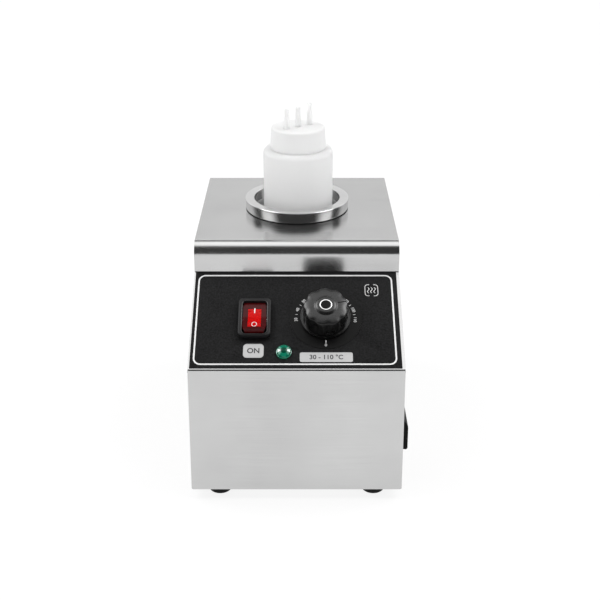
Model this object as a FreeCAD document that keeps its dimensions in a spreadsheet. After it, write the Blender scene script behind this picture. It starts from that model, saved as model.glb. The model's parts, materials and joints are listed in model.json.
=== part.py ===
import FreeCAD, Part
import math
import os
import re
import Sketcher

# Single-bottle chocolate melter: a brushed steel box with a sloped control panel, a dry
# heated well in its roof and a squeeze bottle that stands in the well.
# Millimetres. The origin lies on the standing surface, under the middle of the whole object,
# inlet and rear screws included. X runs to the right, Y from front to back, Z up.

os.makedirs("parts", exist_ok=True)
doc = FreeCAD.newDocument("ChocolateMelter")

# Driving dimensions. Heights and distances from the front are taken on the steel box:
# from its lower edge and from its lower front face.
DRIVING = {
    # steel box
    "body_width": 170, "body_depth": 259, "body_height": 180.5, "band_tall": 23.3,
    "panel_length": 97.5, "panel_slope": 31, "nose_radius": 9, "corner_radius": 2,
    "sheet": 1, "seam_gap": 0.8, "rim_width": 12, "panel_rim": 6, "base_rim": 26, "rear_lip": 14,
    "slot_width": 3, "slot_long": 30, "slot_pitch": 9, "slot_count": 8,
    "slot_front": 45, "rear_slot_low": 40, "panel_joint": 0.3, "band_gap": 0.1,
    "window_end": 4,
    # feet
    "foot_height": 9, "foot_top": 10, "foot_tip": 7.5, "foot_waist": 9.6, "waist_up": 5.6,
    "sole_round": 1.5, "foot_inset": 22.5, "foot_front": 16,
    "foot_screw": 2, "foot_bore": 4.2, "foot_seat": 4,
    # fasteners
    "screw_radius": 1.5, "screw_head": 3, "screw_head_tall": 2, "screw_long": 8,
    "screw_slack": 0.2, "nut_flats": 5.5, "nut_tall": 2.4, "stud_end": 1, "foot_nut_flats": 7,
    # printed panel sheet
    "overlay_thick": 0.5, "overlay_right": -0.6, "overlay_side": 1.9, "overlay_low": 1.9,
    "overlay_high": 0.2,
    # heated well
    "well_back": 173.3, "pot_radius": 37.3, "pot_wall": 1, "pot_low": 37, "pot_flange": 44.8,
    "pot_slack": 0.4, "ring_outer": 46.3, "ring_inner": 38.3, "ring_tall": 10,
    "ring_round": 1.4, "stud_circle": 42.3, "stud_into": 5, "rebate_gap": 0.1,
    "shadow_in": 0.6, "shadow_tall": 0.8,
    # band heater and insulation
    "heater_low": 52, "heater_tall": 58, "heater_thick": 3, "heater_slit": 8,
    "ear_long": 9, "ear_thick": 2, "post_radius": 2.5, "post_long": 9, "post_side": 13,
    "post_up": 49,
    "blanket_gap": 0.3, "blanket_thick": 9, "blanket_slit": 44,
    # safety cut-out under the well
    "cutout_radius": 8, "cutout_tall": 9, "cutout_rim": 3.2, "cutout_step": 1.5,
    "strap_long": 44, "strap_width": 20, "strap_thick": 1, "strap_stud": 16,
    "tab_width": 6.3, "tab_thick": 0.8, "tab_long": 8, "tab_out": 2,
    # thermostat behind the panel
    "dial_right": 23.2, "dial_along": 48.8, "dial_radius": 29, "dial_thick": 0.4,
    "case_wide": 42, "case_long": 36, "case_deep": 24, "case_plate": 1.5, "case_inset": 2,
    "thread_deep": 4,
    "mount_pitch": 25, "mount_screw": 2, "mount_head": 2.8, "mount_head_tall": 1.6,
    "mount_grip": 2,
    "shaft_radius": 3, "shaft_flat": 1.2, "shaft_out": 15, "shaft_in": 10, "shaft_slack": 0.05,
    "shaft_end": 1,
    "neck_radius": 4.8, "bulb_radius": 3, "bulb_long": 40, "bulb_gap": 8.5, "tube_radius": 1,
    "tube_rise": 17, "tube_lead": 14, "tube_sag": 3, "tube_dip": 6, "clip_thick": 0.8,
    "clip_tall": 14,
    # knob
    "knob_lift": 0.8, "skirt_radius": 20.3, "skirt_tall": 2.4, "grip_radius": 18,
    "grip_top": 17.7, "grip_wall": 2.2, "knob_tall": 17.6, "flute_count": 9,
    "flute_radius": 12, "flute_depth": 0.9, "flute_foot": 2.2, "cove_out": 0.6, "cove_low": 1,
    "cove_high": 1.8, "skirt_web": 0.4, "face_round": 0.6, "face_drop": 2, "face_break": 13,
    "break_drop": 0.7, "hub_radius": 9, "hub_top": 6.6, "hub_tall": 1,
    "badge_radius": 5, "badge_thick": 1, "knob_wall": 2, "boss_radius": 5.6,
    "pointer_width": 0.8, "pointer_deep": 0.5, "pointer_start": 10, "pointer_turn": 15,
    # rocker switch
    "switch_right": -33.7, "switch_along": 46.4, "bezel_wide": 26, "bezel_long": 34.2,
    "bezel_tall": 5.5, "bezel_round": 3, "bezel_lip": 0.8, "switch_wide": 22.6, "switch_long": 32.8,
    "switch_deep": 20, "rocker_wide": 20, "rocker_reach": 15.3, "rocker_slack": 0.3,
    "rocker_pivot": 0.5, "rocker_end": 6, "rocker_middle": 4.8, "rocker_tilt": 11,
    "rocker_keel": 3, "well_of_switch": 15.2, "axle_radius": 0.95,
    # pilot lamp
    "lamp_right": -10, "lamp_along": 16.6, "lens_radius": 6.2, "lens_rim": 1, "lens_top": 4.2,
    "lens_shoulder": 5.1, "shoulder_up": 2.8, "lens_crown": 2.9, "crown_up": 3.9,
    "lamp_radius": 4.9, "lamp_deep": 20, "lamp_nut": 12,
    # power inlet on the right side
    "inlet_back": 48, "inlet_up": 37, "inlet_wide": 48, "inlet_high": 30, "inlet_out": 7,
    "inlet_edge": 1.6, "inlet_taper": 9, "inlet_round": 1.2, "socket_wide": 27, "socket_high": 19.6,
    "socket_deep": 17, "socket_drop": 3, "cavity_wide": 24.4, "cavity_high": 16.4,
    "cavity_bevel": 4, "cavity_deep": 13, "pin_wide": 4, "pin_thick": 2, "pin_out": 15,
    "pin_pitch": 7, "pin_step": 4, "inlet_screw_pitch": 40,
    # supply terminals on the base plate
    "block_right": 22, "block_back": 88, "block_wide": 30, "block_long": 18, "block_tall": 15,
    "block_pitch": 9, "block_hole": 5, "block_base": 9, "tower_wide": 7.2, "way_up": 5.2,
    "tower_bore": 2.4, "tower_head": 2.3, "tower_head_tall": 3.8,
    "earth_right": -38, "earth_back": 84, "earth_tall": 14,
    "earth_radius": 2, "earth_head": 4, "earth_nut_flats": 7,
    # bottle and its cap
    "bottle_right": 1, "bottle_radius": 30.8, "bottle_wall": 1.6, "bottle_shoulder": 233,
    "shoulder_tall": 6,
    "bottle_foot": 3, "neck_outer": 21.4, "neck_tall": 14, "cap_radius": 24.6, "cap_top": 23.6,
    "cap_tall": 18, "cap_wall": 2, "cap_slack": 0.3, "cap_round": 1.2, "seal_lip": 0.5,
    "nozzle_pitch": 12.6, "nozzle_radius": 2.4, "nozzle_tip": 2, "nozzle_tall": 18,
    "nozzle_bore": 1, "nozzle_turn": 37,
}

# Sizes that follow from the driving ones.
WORKED = {
    "middle_right": "inlet_out / 2",
    "middle_back": "(body_depth + screw_head_tall) / 2",
    "foot_side": "body_width / 2 - foot_inset",
    "panel_run": "panel_length * cos(panel_slope)",
    "front_height": "body_height - band_tall - panel_length * sin(panel_slope)",
    "panel_stack": "overlay_thick + sheet",
    "panel_drop": "(overlay_thick + sheet) / cos(panel_slope)",
    "rise_rate": "tan(panel_slope)",
    "plate_drop": "sheet / cos(panel_slope)",
    "band_low": "body_height - band_tall + band_gap",
    "pot_outer": "pot_radius + pot_wall",
    "pot_floor": "pot_low + pot_wall",
    "bulb_back": "well_back - pot_outer - bulb_radius - shaft_slack",
    "bulb_low": "body_height - bulb_gap - bulb_long",
    "heater_outer": "pot_outer + heater_thick",
    "flute_centre": "grip_radius + flute_radius - flute_depth",
    "rocker_wall": "rocker_reach + rocker_slack",
    "bottle_tall": "bottle_shoulder + shoulder_tall - pot_floor",
    "neck_inner": "neck_outer - bottle_wall",
    "cap_low": "bottle_shoulder + shoulder_tall - pot_floor",
    "cap_inside": "cap_tall - cap_wall",
    "seal_low": "cap_low + neck_tall",
}


def name_cells(sheet, cells):
    """Write one row a size: its name beside its value, with the name as alias."""
    for row, (alias, content) in enumerate(cells.items(), 1):
        sheet.set(f"A{row}", alias)
        sheet.set(f"B{row}", str(content))
        sheet.setAlias(f"B{row}", alias)


def bind(text):
    """Turn a sum of size names into an expression on the two sheets."""
    def cell(match):
        word = match.group(0)
        if word in DRIVING:
            return f"Sizes.{word}"
        return f"Worked.{word}" if word in WORKED else word
    return re.sub(r"[a-z_]+", cell, str(text))


sizes = doc.addObject("Spreadsheet::Sheet", "Sizes")
name_cells(sizes, DRIVING)
doc.recompute()
worked = doc.addObject("Spreadsheet::Sheet", "Worked")
name_cells(worked, {
    alias: "=" + re.sub(r"Worked\.", "", bind(text)) for alias, text in WORKED.items()})
doc.recompute()


def number(alias):
    """The present value of a size, for choosing edges and for free shapes."""
    return float((sizes if alias in DRIVING else worked).get(alias))


nodes = []


def new_body(label):
    part_body = doc.addObject("PartDesign::Body", label)
    part_body.Label = label
    nodes.append(part_body)
    return part_body


def sketch_on(body, name, role, offset="0"):
    """A sketch on one of the body's own origin planes, moved along its normal."""
    sketch = body.newObject("Sketcher::SketchObject", name)
    plane = next(item for item in body.Origin.OriginFeatures if item.Role == role)
    sketch.AttachmentSupport = [(plane, "")]
    sketch.MapMode = "FlatFace"
    sketch.setExpression("AttachmentOffset.Base.z", bind(offset))
    return sketch


def hold(sketch, kind, parts, text):
    """Add a dimension to a sketch and tie it to the sheets."""
    index = sketch.addConstraint(Sketcher.Constraint(kind, *parts))
    sketch.setExpression(f"Constraints[{index}]", bind(text))


def polygon(sketch, corners):
    """A closed outline; each corner is a pair of sums measured from the sketch origin."""
    count = len(corners)
    first = sketch.GeometryCount
    start = [FreeCAD.Vector(math.cos(2 * math.pi * i / count), math.sin(2 * math.pi * i / count), 0)
             for i in range(count)]
    for i in range(count):
        sketch.addGeometry(Part.LineSegment(start[i], start[(i + 1) % count]))
    for i, (across, up) in enumerate(corners):
        before = first + (i - 1) % count
        sketch.addConstraint(Sketcher.Constraint("Coincident", before, 2, first + i, 1))
        hold(sketch, "DistanceX", (-1, 1, first + i, 1, start[i].x), across)
        hold(sketch, "DistanceY", (-1, 1, first + i, 1, start[i].y), up)


def rectangle(sketch, wide, long, across="0", up="0"):
    """A rectangle given by its sides and its centre."""
    left, right = f"{across} - ({wide}) / 2", f"{across} + ({wide}) / 2"
    low, high = f"{up} - ({long}) / 2", f"{up} + ({long}) / 2"
    polygon(sketch, [(left, low), (right, low), (right, high), (left, high)])


def circle(sketch, radius, across="0", up="0"):
    index = sketch.addGeometry(Part.Circle(FreeCAD.Vector(1, 1, 0), FreeCAD.Vector(0, 0, 1), 1))
    hold(sketch, "Radius", (index, 1.0), radius)
    hold(sketch, "DistanceX", (-1, 1, index, 3, 1.0), across)
    hold(sketch, "DistanceY", (-1, 1, index, 3, 1.0), up)


def pad(body, sketch, name, length, symmetric=False, flip=False):
    feature = body.newObject("PartDesign::Pad", name)
    feature.Profile = sketch
    feature.SideType = "Symmetric" if symmetric else "One side"
    feature.Reversed = flip
    feature.setExpression("Length", bind(length))
    doc.recompute()
    return feature


def pocket(body, sketch, name, length, symmetric=False, flip=False):
    """Cut a sketch into the body; the cut has to take material away."""
    before = body.Shape.Volume
    feature = body.newObject("PartDesign::Pocket", name)
    feature.Profile = sketch
    feature.SideType = "Symmetric" if symmetric else "One side"
    feature.Reversed = flip
    feature.setExpression("Length", bind(length))
    doc.recompute()
    if not feature.Shape.Volume < before - 1e-6:
        raise RuntimeError(f"{body.Label}: {name} cuts nothing")
    return feature


def revolve(body, sketch, name):
    feature = body.newObject("PartDesign::Revolution", name)
    feature.Profile = sketch
    feature.ReferenceAxis = (sketch, ["V_Axis"])
    feature.Angle = 360
    doc.recompute()
    return feature


def dress(body, kind, name, measure, size, chosen):
    """Round or bevel the edges of the body's tip for which chosen(edge) is true."""
    tip = body.Tip
    edges = [f"Edge{i}" for i, edge in enumerate(tip.Shape.Edges, 1) if chosen(edge)]
    if not edges:
        raise RuntimeError(f"{body.Label}: {name} finds no edge")
    feature = body.newObject(f"PartDesign::{kind}", name)
    feature.Base = (tip, edges)
    feature.setExpression(measure, bind(size))
    doc.recompute()
    return feature


def fillet(body, name, radius, chosen):
    return dress(body, "Fillet", name, "Radius", radius, chosen)


def chamfer(body, name, size, chosen):
    return dress(body, "Chamfer", name, "Size", size, chosen)


def around(body, feature, name, count, sketch):
    pattern = body.newObject("PartDesign::PolarPattern", name)
    pattern.Originals = [feature]
    pattern.Axis = (sketch, ["N_Axis"])
    pattern.Angle = 360
    pattern.setExpression("Occurrences", bind(count))
    body.Tip = pattern
    doc.recompute()
    return pattern


def in_row(body, feature, name, count, pitch, sketch, axis="H_Axis"):
    pattern = body.newObject("PartDesign::LinearPattern", name)
    pattern.Originals = [feature]
    pattern.Direction = (sketch, [axis])
    pattern.Mode = "Spacing"
    pattern.setExpression("Offset", bind(pitch))
    pattern.setExpression("Occurrences", bind(count))
    body.Tip = pattern
    doc.recompute()
    return pattern


# Edge choices

def parallel(edge, axis):
    if edge.Curve.TypeId != "Part::GeomLine":
        return False
    return abs(abs(edge.tangentAt(edge.FirstParameter).dot(axis)) - 1) < 1e-6


ALONG_X = FreeCAD.Vector(1, 0, 0)
ALONG_Z = FreeCAD.Vector(0, 0, 1)


def round_at(height, radius=None):
    """Full circles at a height, of one radius or any."""
    def chosen(edge):
        if edge.Curve.TypeId != "Part::GeomCircle" or abs(edge.CenterOfMass.z - height) > 0.01:
            return False
        return radius is None or abs(edge.Curve.Radius - radius) < 0.01
    return chosen


# Places

def place(item, right, back, up, axis=None, turn=None):
    """Set a piece in the row frame; turn is in degrees about axis."""
    if axis is not None:
        item.Placement = FreeCAD.Placement(FreeCAD.Vector(), FreeCAD.Rotation(axis, 45))
        item.setExpression("Placement.Rotation.Angle", bind(turn))
    item.setExpression("Placement.Base.x", bind(f"{right} - middle_right"))
    item.setExpression("Placement.Base.y", bind(f"{back} - middle_back"))
    item.setExpression("Placement.Base.z", bind(f"{up} + foot_height"))


def on_panel(item, right, along, lift="0", tilt="0"):
    """Set a piece on the sloped panel: its Y runs up the slope, its Z points outwards."""
    place(item, right, f"({along}) * cos(panel_slope) - ({lift}) * sin(panel_slope)",
          f"front_height + ({along}) * sin(panel_slope) + ({lift}) * cos(panel_slope)",
          ALONG_X, f"panel_slope + ({tilt})")


def on_side(item, back, up, out="0"):
    """Set a piece on the right side wall: its X runs back, its Y up, its Z outwards."""
    place(item, f"body_width / 2 + ({out})", back, up, FreeCAD.Vector(1, 1, 1), "120")


# Steel box

def make_body_shell():
    """One folded and welded sheet: front, two sides and the rims that carry the covers."""
    shell = new_body("body_shell")
    below = "front_height - panel_drop"
    side = sketch_on(shell, "side_outline", "YZ_Plane")
    polygon(side, [
        ("0", "0"), ("body_depth - sheet", "0"), ("body_depth - sheet", "body_height - sheet"),
        ("panel_run + sheet", "body_height - sheet"),
        ("panel_run + sheet", f"{below} + (panel_run + sheet) * rise_rate"),
        ("sheet", f"{below} + sheet * rise_rate"),
        ("sheet", f"{below} - seam_gap"), ("0", f"{below} - seam_gap")])
    pad(shell, side, "outer_block", "body_width", symmetric=True)
    inner = sketch_on(shell, "inner_outline", "YZ_Plane")
    inside = f"{below} - plate_drop"
    polygon(inner, [
        ("sheet", "sheet"), ("body_depth - 2 * sheet", "sheet"),
        ("body_depth - 2 * sheet", "body_height - 2 * sheet"),
        ("panel_run + 2 * sheet", "body_height - 2 * sheet"),
        ("panel_run + 2 * sheet", f"{inside} + (panel_run + 2 * sheet) * rise_rate"),
        ("2 * sheet", f"{inside} + 2 * sheet * rise_rate"), ("sheet", f"{inside} - seam_gap")])
    pocket(shell, inner, "hollow", "body_width - 2 * sheet", symmetric=True)

    def nose_edge(step):
        front = number("panel_run") + step * number("sheet")
        top = number("body_height") - step * number("sheet")

        def chosen(edge):
            middle = edge.CenterOfMass
            return (parallel(edge, ALONG_X) and abs(middle.y - front) < 0.01
                    and abs(middle.z - top) < 0.01)
        return chosen
    fillet(shell, "inner_nose", "nose_radius - 2 * sheet", nose_edge(2))
    fillet(shell, "outer_nose", "nose_radius - sheet", nose_edge(1))
    windows = sketch_on(shell, "windows", "YZ_Plane")
    polygon(windows, [
        ("base_rim", "-sheet"), ("body_depth - base_rim", "-sheet"),
        ("body_depth - base_rim", "2 * sheet"), ("base_rim", "2 * sheet")])
    polygon(windows, [
        ("body_depth - 3 * sheet", "base_rim"), ("body_depth", "base_rim"),
        ("body_depth", "body_height - rear_lip - rim_width"),
        ("body_depth - 3 * sheet", "body_height - rear_lip - rim_width")])
    polygon(windows, [
        ("panel_run + nose_radius + rim_width", "body_height - 3 * sheet"),
        ("body_depth - rim_width", "body_height - 3 * sheet"),
        ("body_depth - rim_width", "body_height"),
        ("panel_run + nose_radius + rim_width", "body_height")])
    polygon(windows, [
        ("panel_rim", f"{inside} + panel_rim * rise_rate - sheet"),
        ("panel_run - window_end", f"{inside} + (panel_run - window_end) * rise_rate - sheet"),
        ("panel_run - window_end", f"{below} + (panel_run - window_end) * rise_rate + sheet"),
        ("panel_rim", f"{below} + panel_rim * rise_rate + sheet")])
    pocket(shell, windows, "window_cuts", "body_width - 2 * rim_width", symmetric=True)

    def front_corner(edge):
        return (parallel(edge, ALONG_Z) and edge.CenterOfMass.y < 0.01
                and abs(edge.CenterOfMass.x) > number("body_width") / 2 - 0.01)
    fillet(shell, "front_corners", "corner_radius", front_corner)
    cut_base_holes(shell, "sheet")
    inlet_hole = sketch_on(shell, "inlet_hole", "YZ_Plane", "body_width / 2 - 2 * sheet")
    rectangle(inlet_hole, "socket_wide + 2 * screw_slack", "socket_high + 2 * screw_slack",
              "inlet_back", "inlet_up - socket_drop")
    for side_sign in ("-", "+"):
        circle(inlet_hole, "screw_radius + screw_slack",
               f"inlet_back {side_sign} inlet_screw_pitch / 2", "inlet_up - socket_drop")
    pocket(shell, inlet_hole, "inlet_opening", "4 * sheet", flip=True)
    rear = sketch_on(shell, "rear_holes", "XZ_Plane", "-body_depth")
    for right, up in rear_screw_spots():
        circle(rear, "screw_radius", right, up)
    pocket(shell, rear, "rear_screw_holes", "5 * sheet", flip=True)
    place(shell, "0", "0", "0")


def base_screw_spots():
    """The four foot screws, as pairs right and back."""
    return [(f"{side}foot_side", back) for side in ("-", "")
            for back in ("foot_front", "body_depth - foot_front")]


def rear_screw_spots():
    """Six screws of the rear panel, as pairs right and up."""
    side = "(body_width / 2 - rim_width / 2)"
    levels = ("base_rim / 2", "(body_height - rear_lip) / 2",
              "body_height - rear_lip - rim_width / 2")
    return [(f"{sign}{side}", level) for sign in ("-", "") for level in levels]


def cut_base_holes(body, up):
    holes = sketch_on(body, "foot_screw_holes", "XY_Plane", up)
    for right, back in base_screw_spots():
        circle(holes, "foot_screw + screw_slack", right, back)
    pocket(body, holes, "foot_holes", "2 * sheet")


def make_top_cover():
    """Roof plate folded down into the rounded nose and front band, and into a rear lip."""
    cover = new_body("top_cover")
    bend = sketch_on(cover, "bend_line", "YZ_Plane")
    polygon(bend, [
        ("panel_run", "band_low"), ("panel_run + sheet", "band_low"),
        ("panel_run + sheet", "body_height - sheet"),
        ("body_depth - sheet", "body_height - sheet"),
        ("body_depth - sheet", "body_height - rear_lip"),
        ("body_depth", "body_height - rear_lip"),
        ("body_depth", "body_height"), ("panel_run", "body_height")])
    pad(cover, bend, "folded_sheet", "body_width", symmetric=True)

    def fold(front, top):
        def chosen(edge):
            middle = edge.CenterOfMass
            return (parallel(edge, ALONG_X) and abs(middle.y - front) < 0.01
                    and abs(middle.z - top) < 0.01)
        return chosen
    run, thick = number("panel_run"), number("sheet")
    deep, high = number("body_depth"), number("body_height")
    fillet(cover, "inner_nose", "nose_radius - sheet", fold(run + thick, high - thick))
    fillet(cover, "outer_nose", "nose_radius", fold(run, high))
    fillet(cover, "rear_fold", "corner_radius", fold(deep, high))
    mouth = sketch_on(cover, "mouth", "XY_Plane", "body_height")
    circle(mouth, "pot_outer + pot_slack", "0", "well_back")
    pocket(cover, mouth, "well_hole", "3 * sheet")
    stud = sketch_on(cover, "stud_hole", "XY_Plane", "body_height")
    for right, back in stud_spots():
        circle(stud, "screw_radius + screw_slack", right, f"well_back + {back}")
    pocket(cover, stud, "stud_holes", "3 * sheet")
    place(cover, "0", "0", "0")


def stud_spots():
    """Four studs under the well ring, on the diagonals, from the well axis."""
    reach = "stud_circle * sqrt(0.5)"
    return [(f"{sign}{reach}", f"{other}{reach}") for sign in ("-", "1 * ")
            for other in ("(-1) * ", "1 * ")]


def make_control_panel():
    """Sloped plate under the printed sheet, with the holes of the three controls."""
    plate = new_body("control_panel")
    edge = sketch_on(plate, "plate_section", "YZ_Plane")
    far = "(panel_run + sheet) / cos(panel_slope)"
    polygon(edge, [
        ("-overlay_thick * rise_rate", "-overlay_thick"),
        ("-panel_stack * rise_rate", "-panel_stack"),
        (f"{far} - panel_stack * rise_rate", "-panel_stack"),
        (f"{far} - overlay_thick * rise_rate", "-overlay_thick")])
    pad(plate, edge, "plate", "body_width", symmetric=True)
    holes = sketch_on(plate, "control_holes", "XY_Plane")
    cut_control_holes(holes, mounts=True)
    pocket(plate, holes, "hole_cuts", "panel_stack + sheet")
    on_panel(plate, "0", "0")


def cut_control_holes(sketch, mounts):
    rectangle(sketch, "switch_wide + 2 * screw_slack", "switch_long + 2 * screw_slack",
              "switch_right", "switch_along")
    circle(sketch, "lamp_radius + screw_slack", "lamp_right", "lamp_along")
    circle(sketch, "neck_radius + screw_slack", "dial_right", "dial_along")
    if mounts:
        for sign in ("-", "+"):
            circle(sketch, "mount_screw + screw_slack", f"dial_right {sign} mount_pitch / 2",
                   "dial_along")


def make_panel_overlay():
    """Thin printed plastic sheet that covers the panel between two bare steel edges."""
    overlay = new_body("panel_overlay")
    face = sketch_on(overlay, "overlay_outline", "XY_Plane", "-overlay_thick")
    rectangle(face, "body_width - 2 * overlay_side",
              "panel_length - overlay_low - overlay_high", "overlay_right",
              "(panel_length + overlay_low - overlay_high) / 2")
    pad(overlay, face, "printed_sheet", "overlay_thick")
    fillet(overlay, "sheet_corners", "corner_radius / 2", lambda edge: parallel(edge, ALONG_Z))
    holes = sketch_on(overlay, "control_holes", "XY_Plane")
    cut_control_holes(holes, mounts=True)
    pocket(overlay, holes, "hole_cuts", "overlay_thick + sheet")
    on_panel(overlay, "0", "0")


def make_base_plate():
    """Slotted floor, laid on the lower rim of the box."""
    plate = new_body("base_plate")
    floor = sketch_on(plate, "floor_outline", "XY_Plane")
    rectangle(floor, "body_width - 2 * sheet - 2 * panel_joint",
              "body_depth - 3 * sheet - 2 * panel_joint", "0", "(body_depth - sheet) / 2")
    pad(plate, floor, "floor", "sheet")
    slots = sketch_on(plate, "slot", "XY_Plane", "sheet")
    rectangle(slots, "slot_width", "slot_long", "-slot_pitch * (slot_count - 1) / 2",
              "slot_front + slot_long / 2")
    first = pocket(plate, slots, "first_slot", "2 * sheet")
    in_row(plate, first, "front_slots", "slot_count", "slot_pitch", slots)
    rear_slots = sketch_on(plate, "rear_slot", "XY_Plane", "sheet")
    rectangle(rear_slots, "slot_width", "slot_long", "-slot_pitch * (slot_count - 1) / 2",
              "body_depth - slot_front - slot_long / 2")
    first = pocket(plate, rear_slots, "first_rear_slot", "2 * sheet")
    in_row(plate, first, "rear_slots", "slot_count", "slot_pitch", rear_slots)
    holes = sketch_on(plate, "fixing_holes", "XY_Plane", "sheet")
    for right, back in base_screw_spots():
        circle(holes, "foot_screw + screw_slack", right, back)
    circle(holes, "earth_radius + screw_slack", "earth_right", "earth_back")
    pocket(plate, holes, "fixing_cuts", "2 * sheet")
    place(plate, "0", "0", "sheet")


def make_back_panel():
    """Rear closing plate with a row of cooling slots."""
    plate = new_body("back_panel")
    face = sketch_on(plate, "rear_outline", "XZ_Plane", "-body_depth")
    tall = "body_height - rear_lip - panel_joint"
    rectangle(face, "body_width", tall, "0", f"({tall}) / 2")
    pad(plate, face, "rear_plate", "sheet")
    slot = sketch_on(plate, "slot", "XZ_Plane", "-body_depth")
    rectangle(slot, "slot_width", "slot_long", "-slot_pitch * (slot_count - 1) / 2",
              "rear_slot_low + slot_long / 2")
    first = pocket(plate, slot, "first_slot", "2 * sheet", flip=True)
    in_row(plate, first, "slots", "slot_count", "slot_pitch", slot)
    holes = sketch_on(plate, "screw_holes", "XZ_Plane", "-body_depth")
    for right, up in rear_screw_spots():
        circle(holes, "screw_radius + screw_slack", right, up)
    pocket(plate, holes, "hole_cuts", "2 * sheet", flip=True)
    place(plate, "0", "0", "0")


def make_screw_group(label, role, offset, spots, radius, head, head_tall, length):
    """Equal pan-head screws in one node; each is a head and a shank on its own spot."""
    group = new_body(label)
    group.AllowCompound = True
    heads = sketch_on(group, "heads", role, offset)
    for right, up in spots:
        circle(heads, head, right, up)
    pad(group, heads, "head_pads", head_tall)
    tops = max(edge.CenterOfMass.dot(normal_of(role)) for edge in group.Tip.Shape.Edges)

    def crown(edge):
        return (edge.Curve.TypeId == "Part::GeomCircle"
                and edge.CenterOfMass.dot(normal_of(role)) > tops - 0.01)
    chamfer(group, "head_bevels", f"({head_tall}) / 2", crown)
    shanks = sketch_on(group, "shanks", role, offset)
    for right, up in spots:
        circle(shanks, radius, right, up)
    pad(group, shanks, "shank_pads", length, flip=True)
    return group


def normal_of(role):
    return {"XY_Plane": FreeCAD.Vector(0, 0, 1), "XZ_Plane": FreeCAD.Vector(0, -1, 0),
            "YZ_Plane": FreeCAD.Vector(1, 0, 0)}[role]


def make_back_screws():
    """Pan-head screws through the rear panel into the rim; heads point to the back."""
    spots = [(right, f"-({up})") for right, up in rear_screw_spots()]
    screws = make_screw_group("back_screws", "XY_Plane", "0", spots,
                              "screw_radius", "screw_head", "screw_head_tall", "screw_long")
    place(screws, "0", "body_depth", "0", ALONG_X, "-90")


def make_feet():
    """Four domed rubber feet, hollowed for the screw heads."""
    for label, right, back in (
            ("front_left_foot", "-foot_side", "foot_front"),
            ("front_right_foot", "foot_side", "foot_front"),
            ("rear_left_foot", "-foot_side", "body_depth - foot_front"),
            ("rear_right_foot", "foot_side", "body_depth - foot_front")):
        foot = new_body(label)
        half = sketch_on(foot, "foot_section", "XZ_Plane")
        polygon(half, [
            ("foot_bore", "0"), ("foot_tip", "0"), ("foot_waist", "waist_up"),
            ("foot_top", "foot_height"), ("foot_screw + screw_slack", "foot_height"),
            ("foot_screw + screw_slack", "foot_seat"), ("foot_bore", "foot_seat")])
        revolve(foot, half, "foot_turn")
        low = number("foot_tip")
        fillet(foot, "sole_rounding", "sole_round", round_at(0, low))
        place(foot, right, back, "-foot_height")


def make_foot_screws():
    """Pan-head screws that hold the feet, driven up into nuts on the floor."""
    screws = new_body("foot_screws")
    screws.AllowCompound = True
    heads = sketch_on(screws, "heads", "XY_Plane", "foot_seat")
    for right, back in base_screw_spots():
        circle(heads, "2 * foot_screw - screw_slack", right, back)
    pad(screws, heads, "head_pads", "foot_seat / 2", flip=True)
    shanks = sketch_on(screws, "shanks", "XY_Plane", "foot_seat")
    for right, back in base_screw_spots():
        circle(shanks, "foot_screw", right, back)
    pad(screws, shanks, "shank_pads", "foot_height + 2 * sheet + nut_tall")
    place(screws, "0", "0", "-foot_height")
    make_nut_group("foot_nuts", base_screw_spots(), "foot_screw", "foot_nut_flats",
                   "nut_tall", ("0", "0", "2 * sheet"))


def hexagon(sketch, flats, across, up):
    """A regular hexagon, flats to flats, with two corners on the sketch's X."""
    reach = f"({flats}) / sqrt(3)"
    corners = []
    for step in range(6):
        corners.append((f"{across} + {reach} * cos({60 * step})",
                        f"{up} + {reach} * sin({60 * step})"))
    polygon(sketch, corners)


def make_nut_group(label, spots, bore, flats, tall, spot):
    """Equal hexagon nuts in one node."""
    nuts = new_body(label)
    nuts.AllowCompound = True
    outer = sketch_on(nuts, "nut_outlines", "XY_Plane")
    for right, back in spots:
        hexagon(outer, flats, right, back)
    pad(nuts, outer, "nut_pads", tall)
    bores = sketch_on(nuts, "nut_bores", "XY_Plane")
    for right, back in spots:
        circle(bores, bore, right, back)
    pocket(nuts, bores, "bore_cuts", tall, flip=True)
    place(nuts, *spot)
    return nuts


# Heated well

def make_well_pot():
    """Deep-drawn steel cup with a flat flange that lies on the roof plate."""
    pot = new_body("well_pot")
    half = sketch_on(pot, "pot_section", "XZ_Plane")
    polygon(half, [
        ("0", "0"), ("pot_outer", "0"), ("pot_outer", "body_height - pot_low"),
        ("pot_flange", "body_height - pot_low"),
        ("pot_flange", "body_height - pot_low + pot_wall"),
        ("pot_radius", "body_height - pot_low + pot_wall"), ("pot_radius", "pot_wall"),
        ("0", "pot_wall")])
    revolve(pot, half, "pot_turn")
    fillet(pot, "floor_round", "2 * pot_wall", round_at(0, number("pot_outer")))
    holes = sketch_on(pot, "stud_holes", "XY_Plane", "body_height - pot_low + 2 * pot_wall")
    for right, back in stud_spots():
        circle(holes, "screw_radius + screw_slack", right, back)
    pocket(pot, holes, "stud_hole_cuts", "3 * pot_wall")
    place(pot, "0", "well_back", "pot_low")


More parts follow.
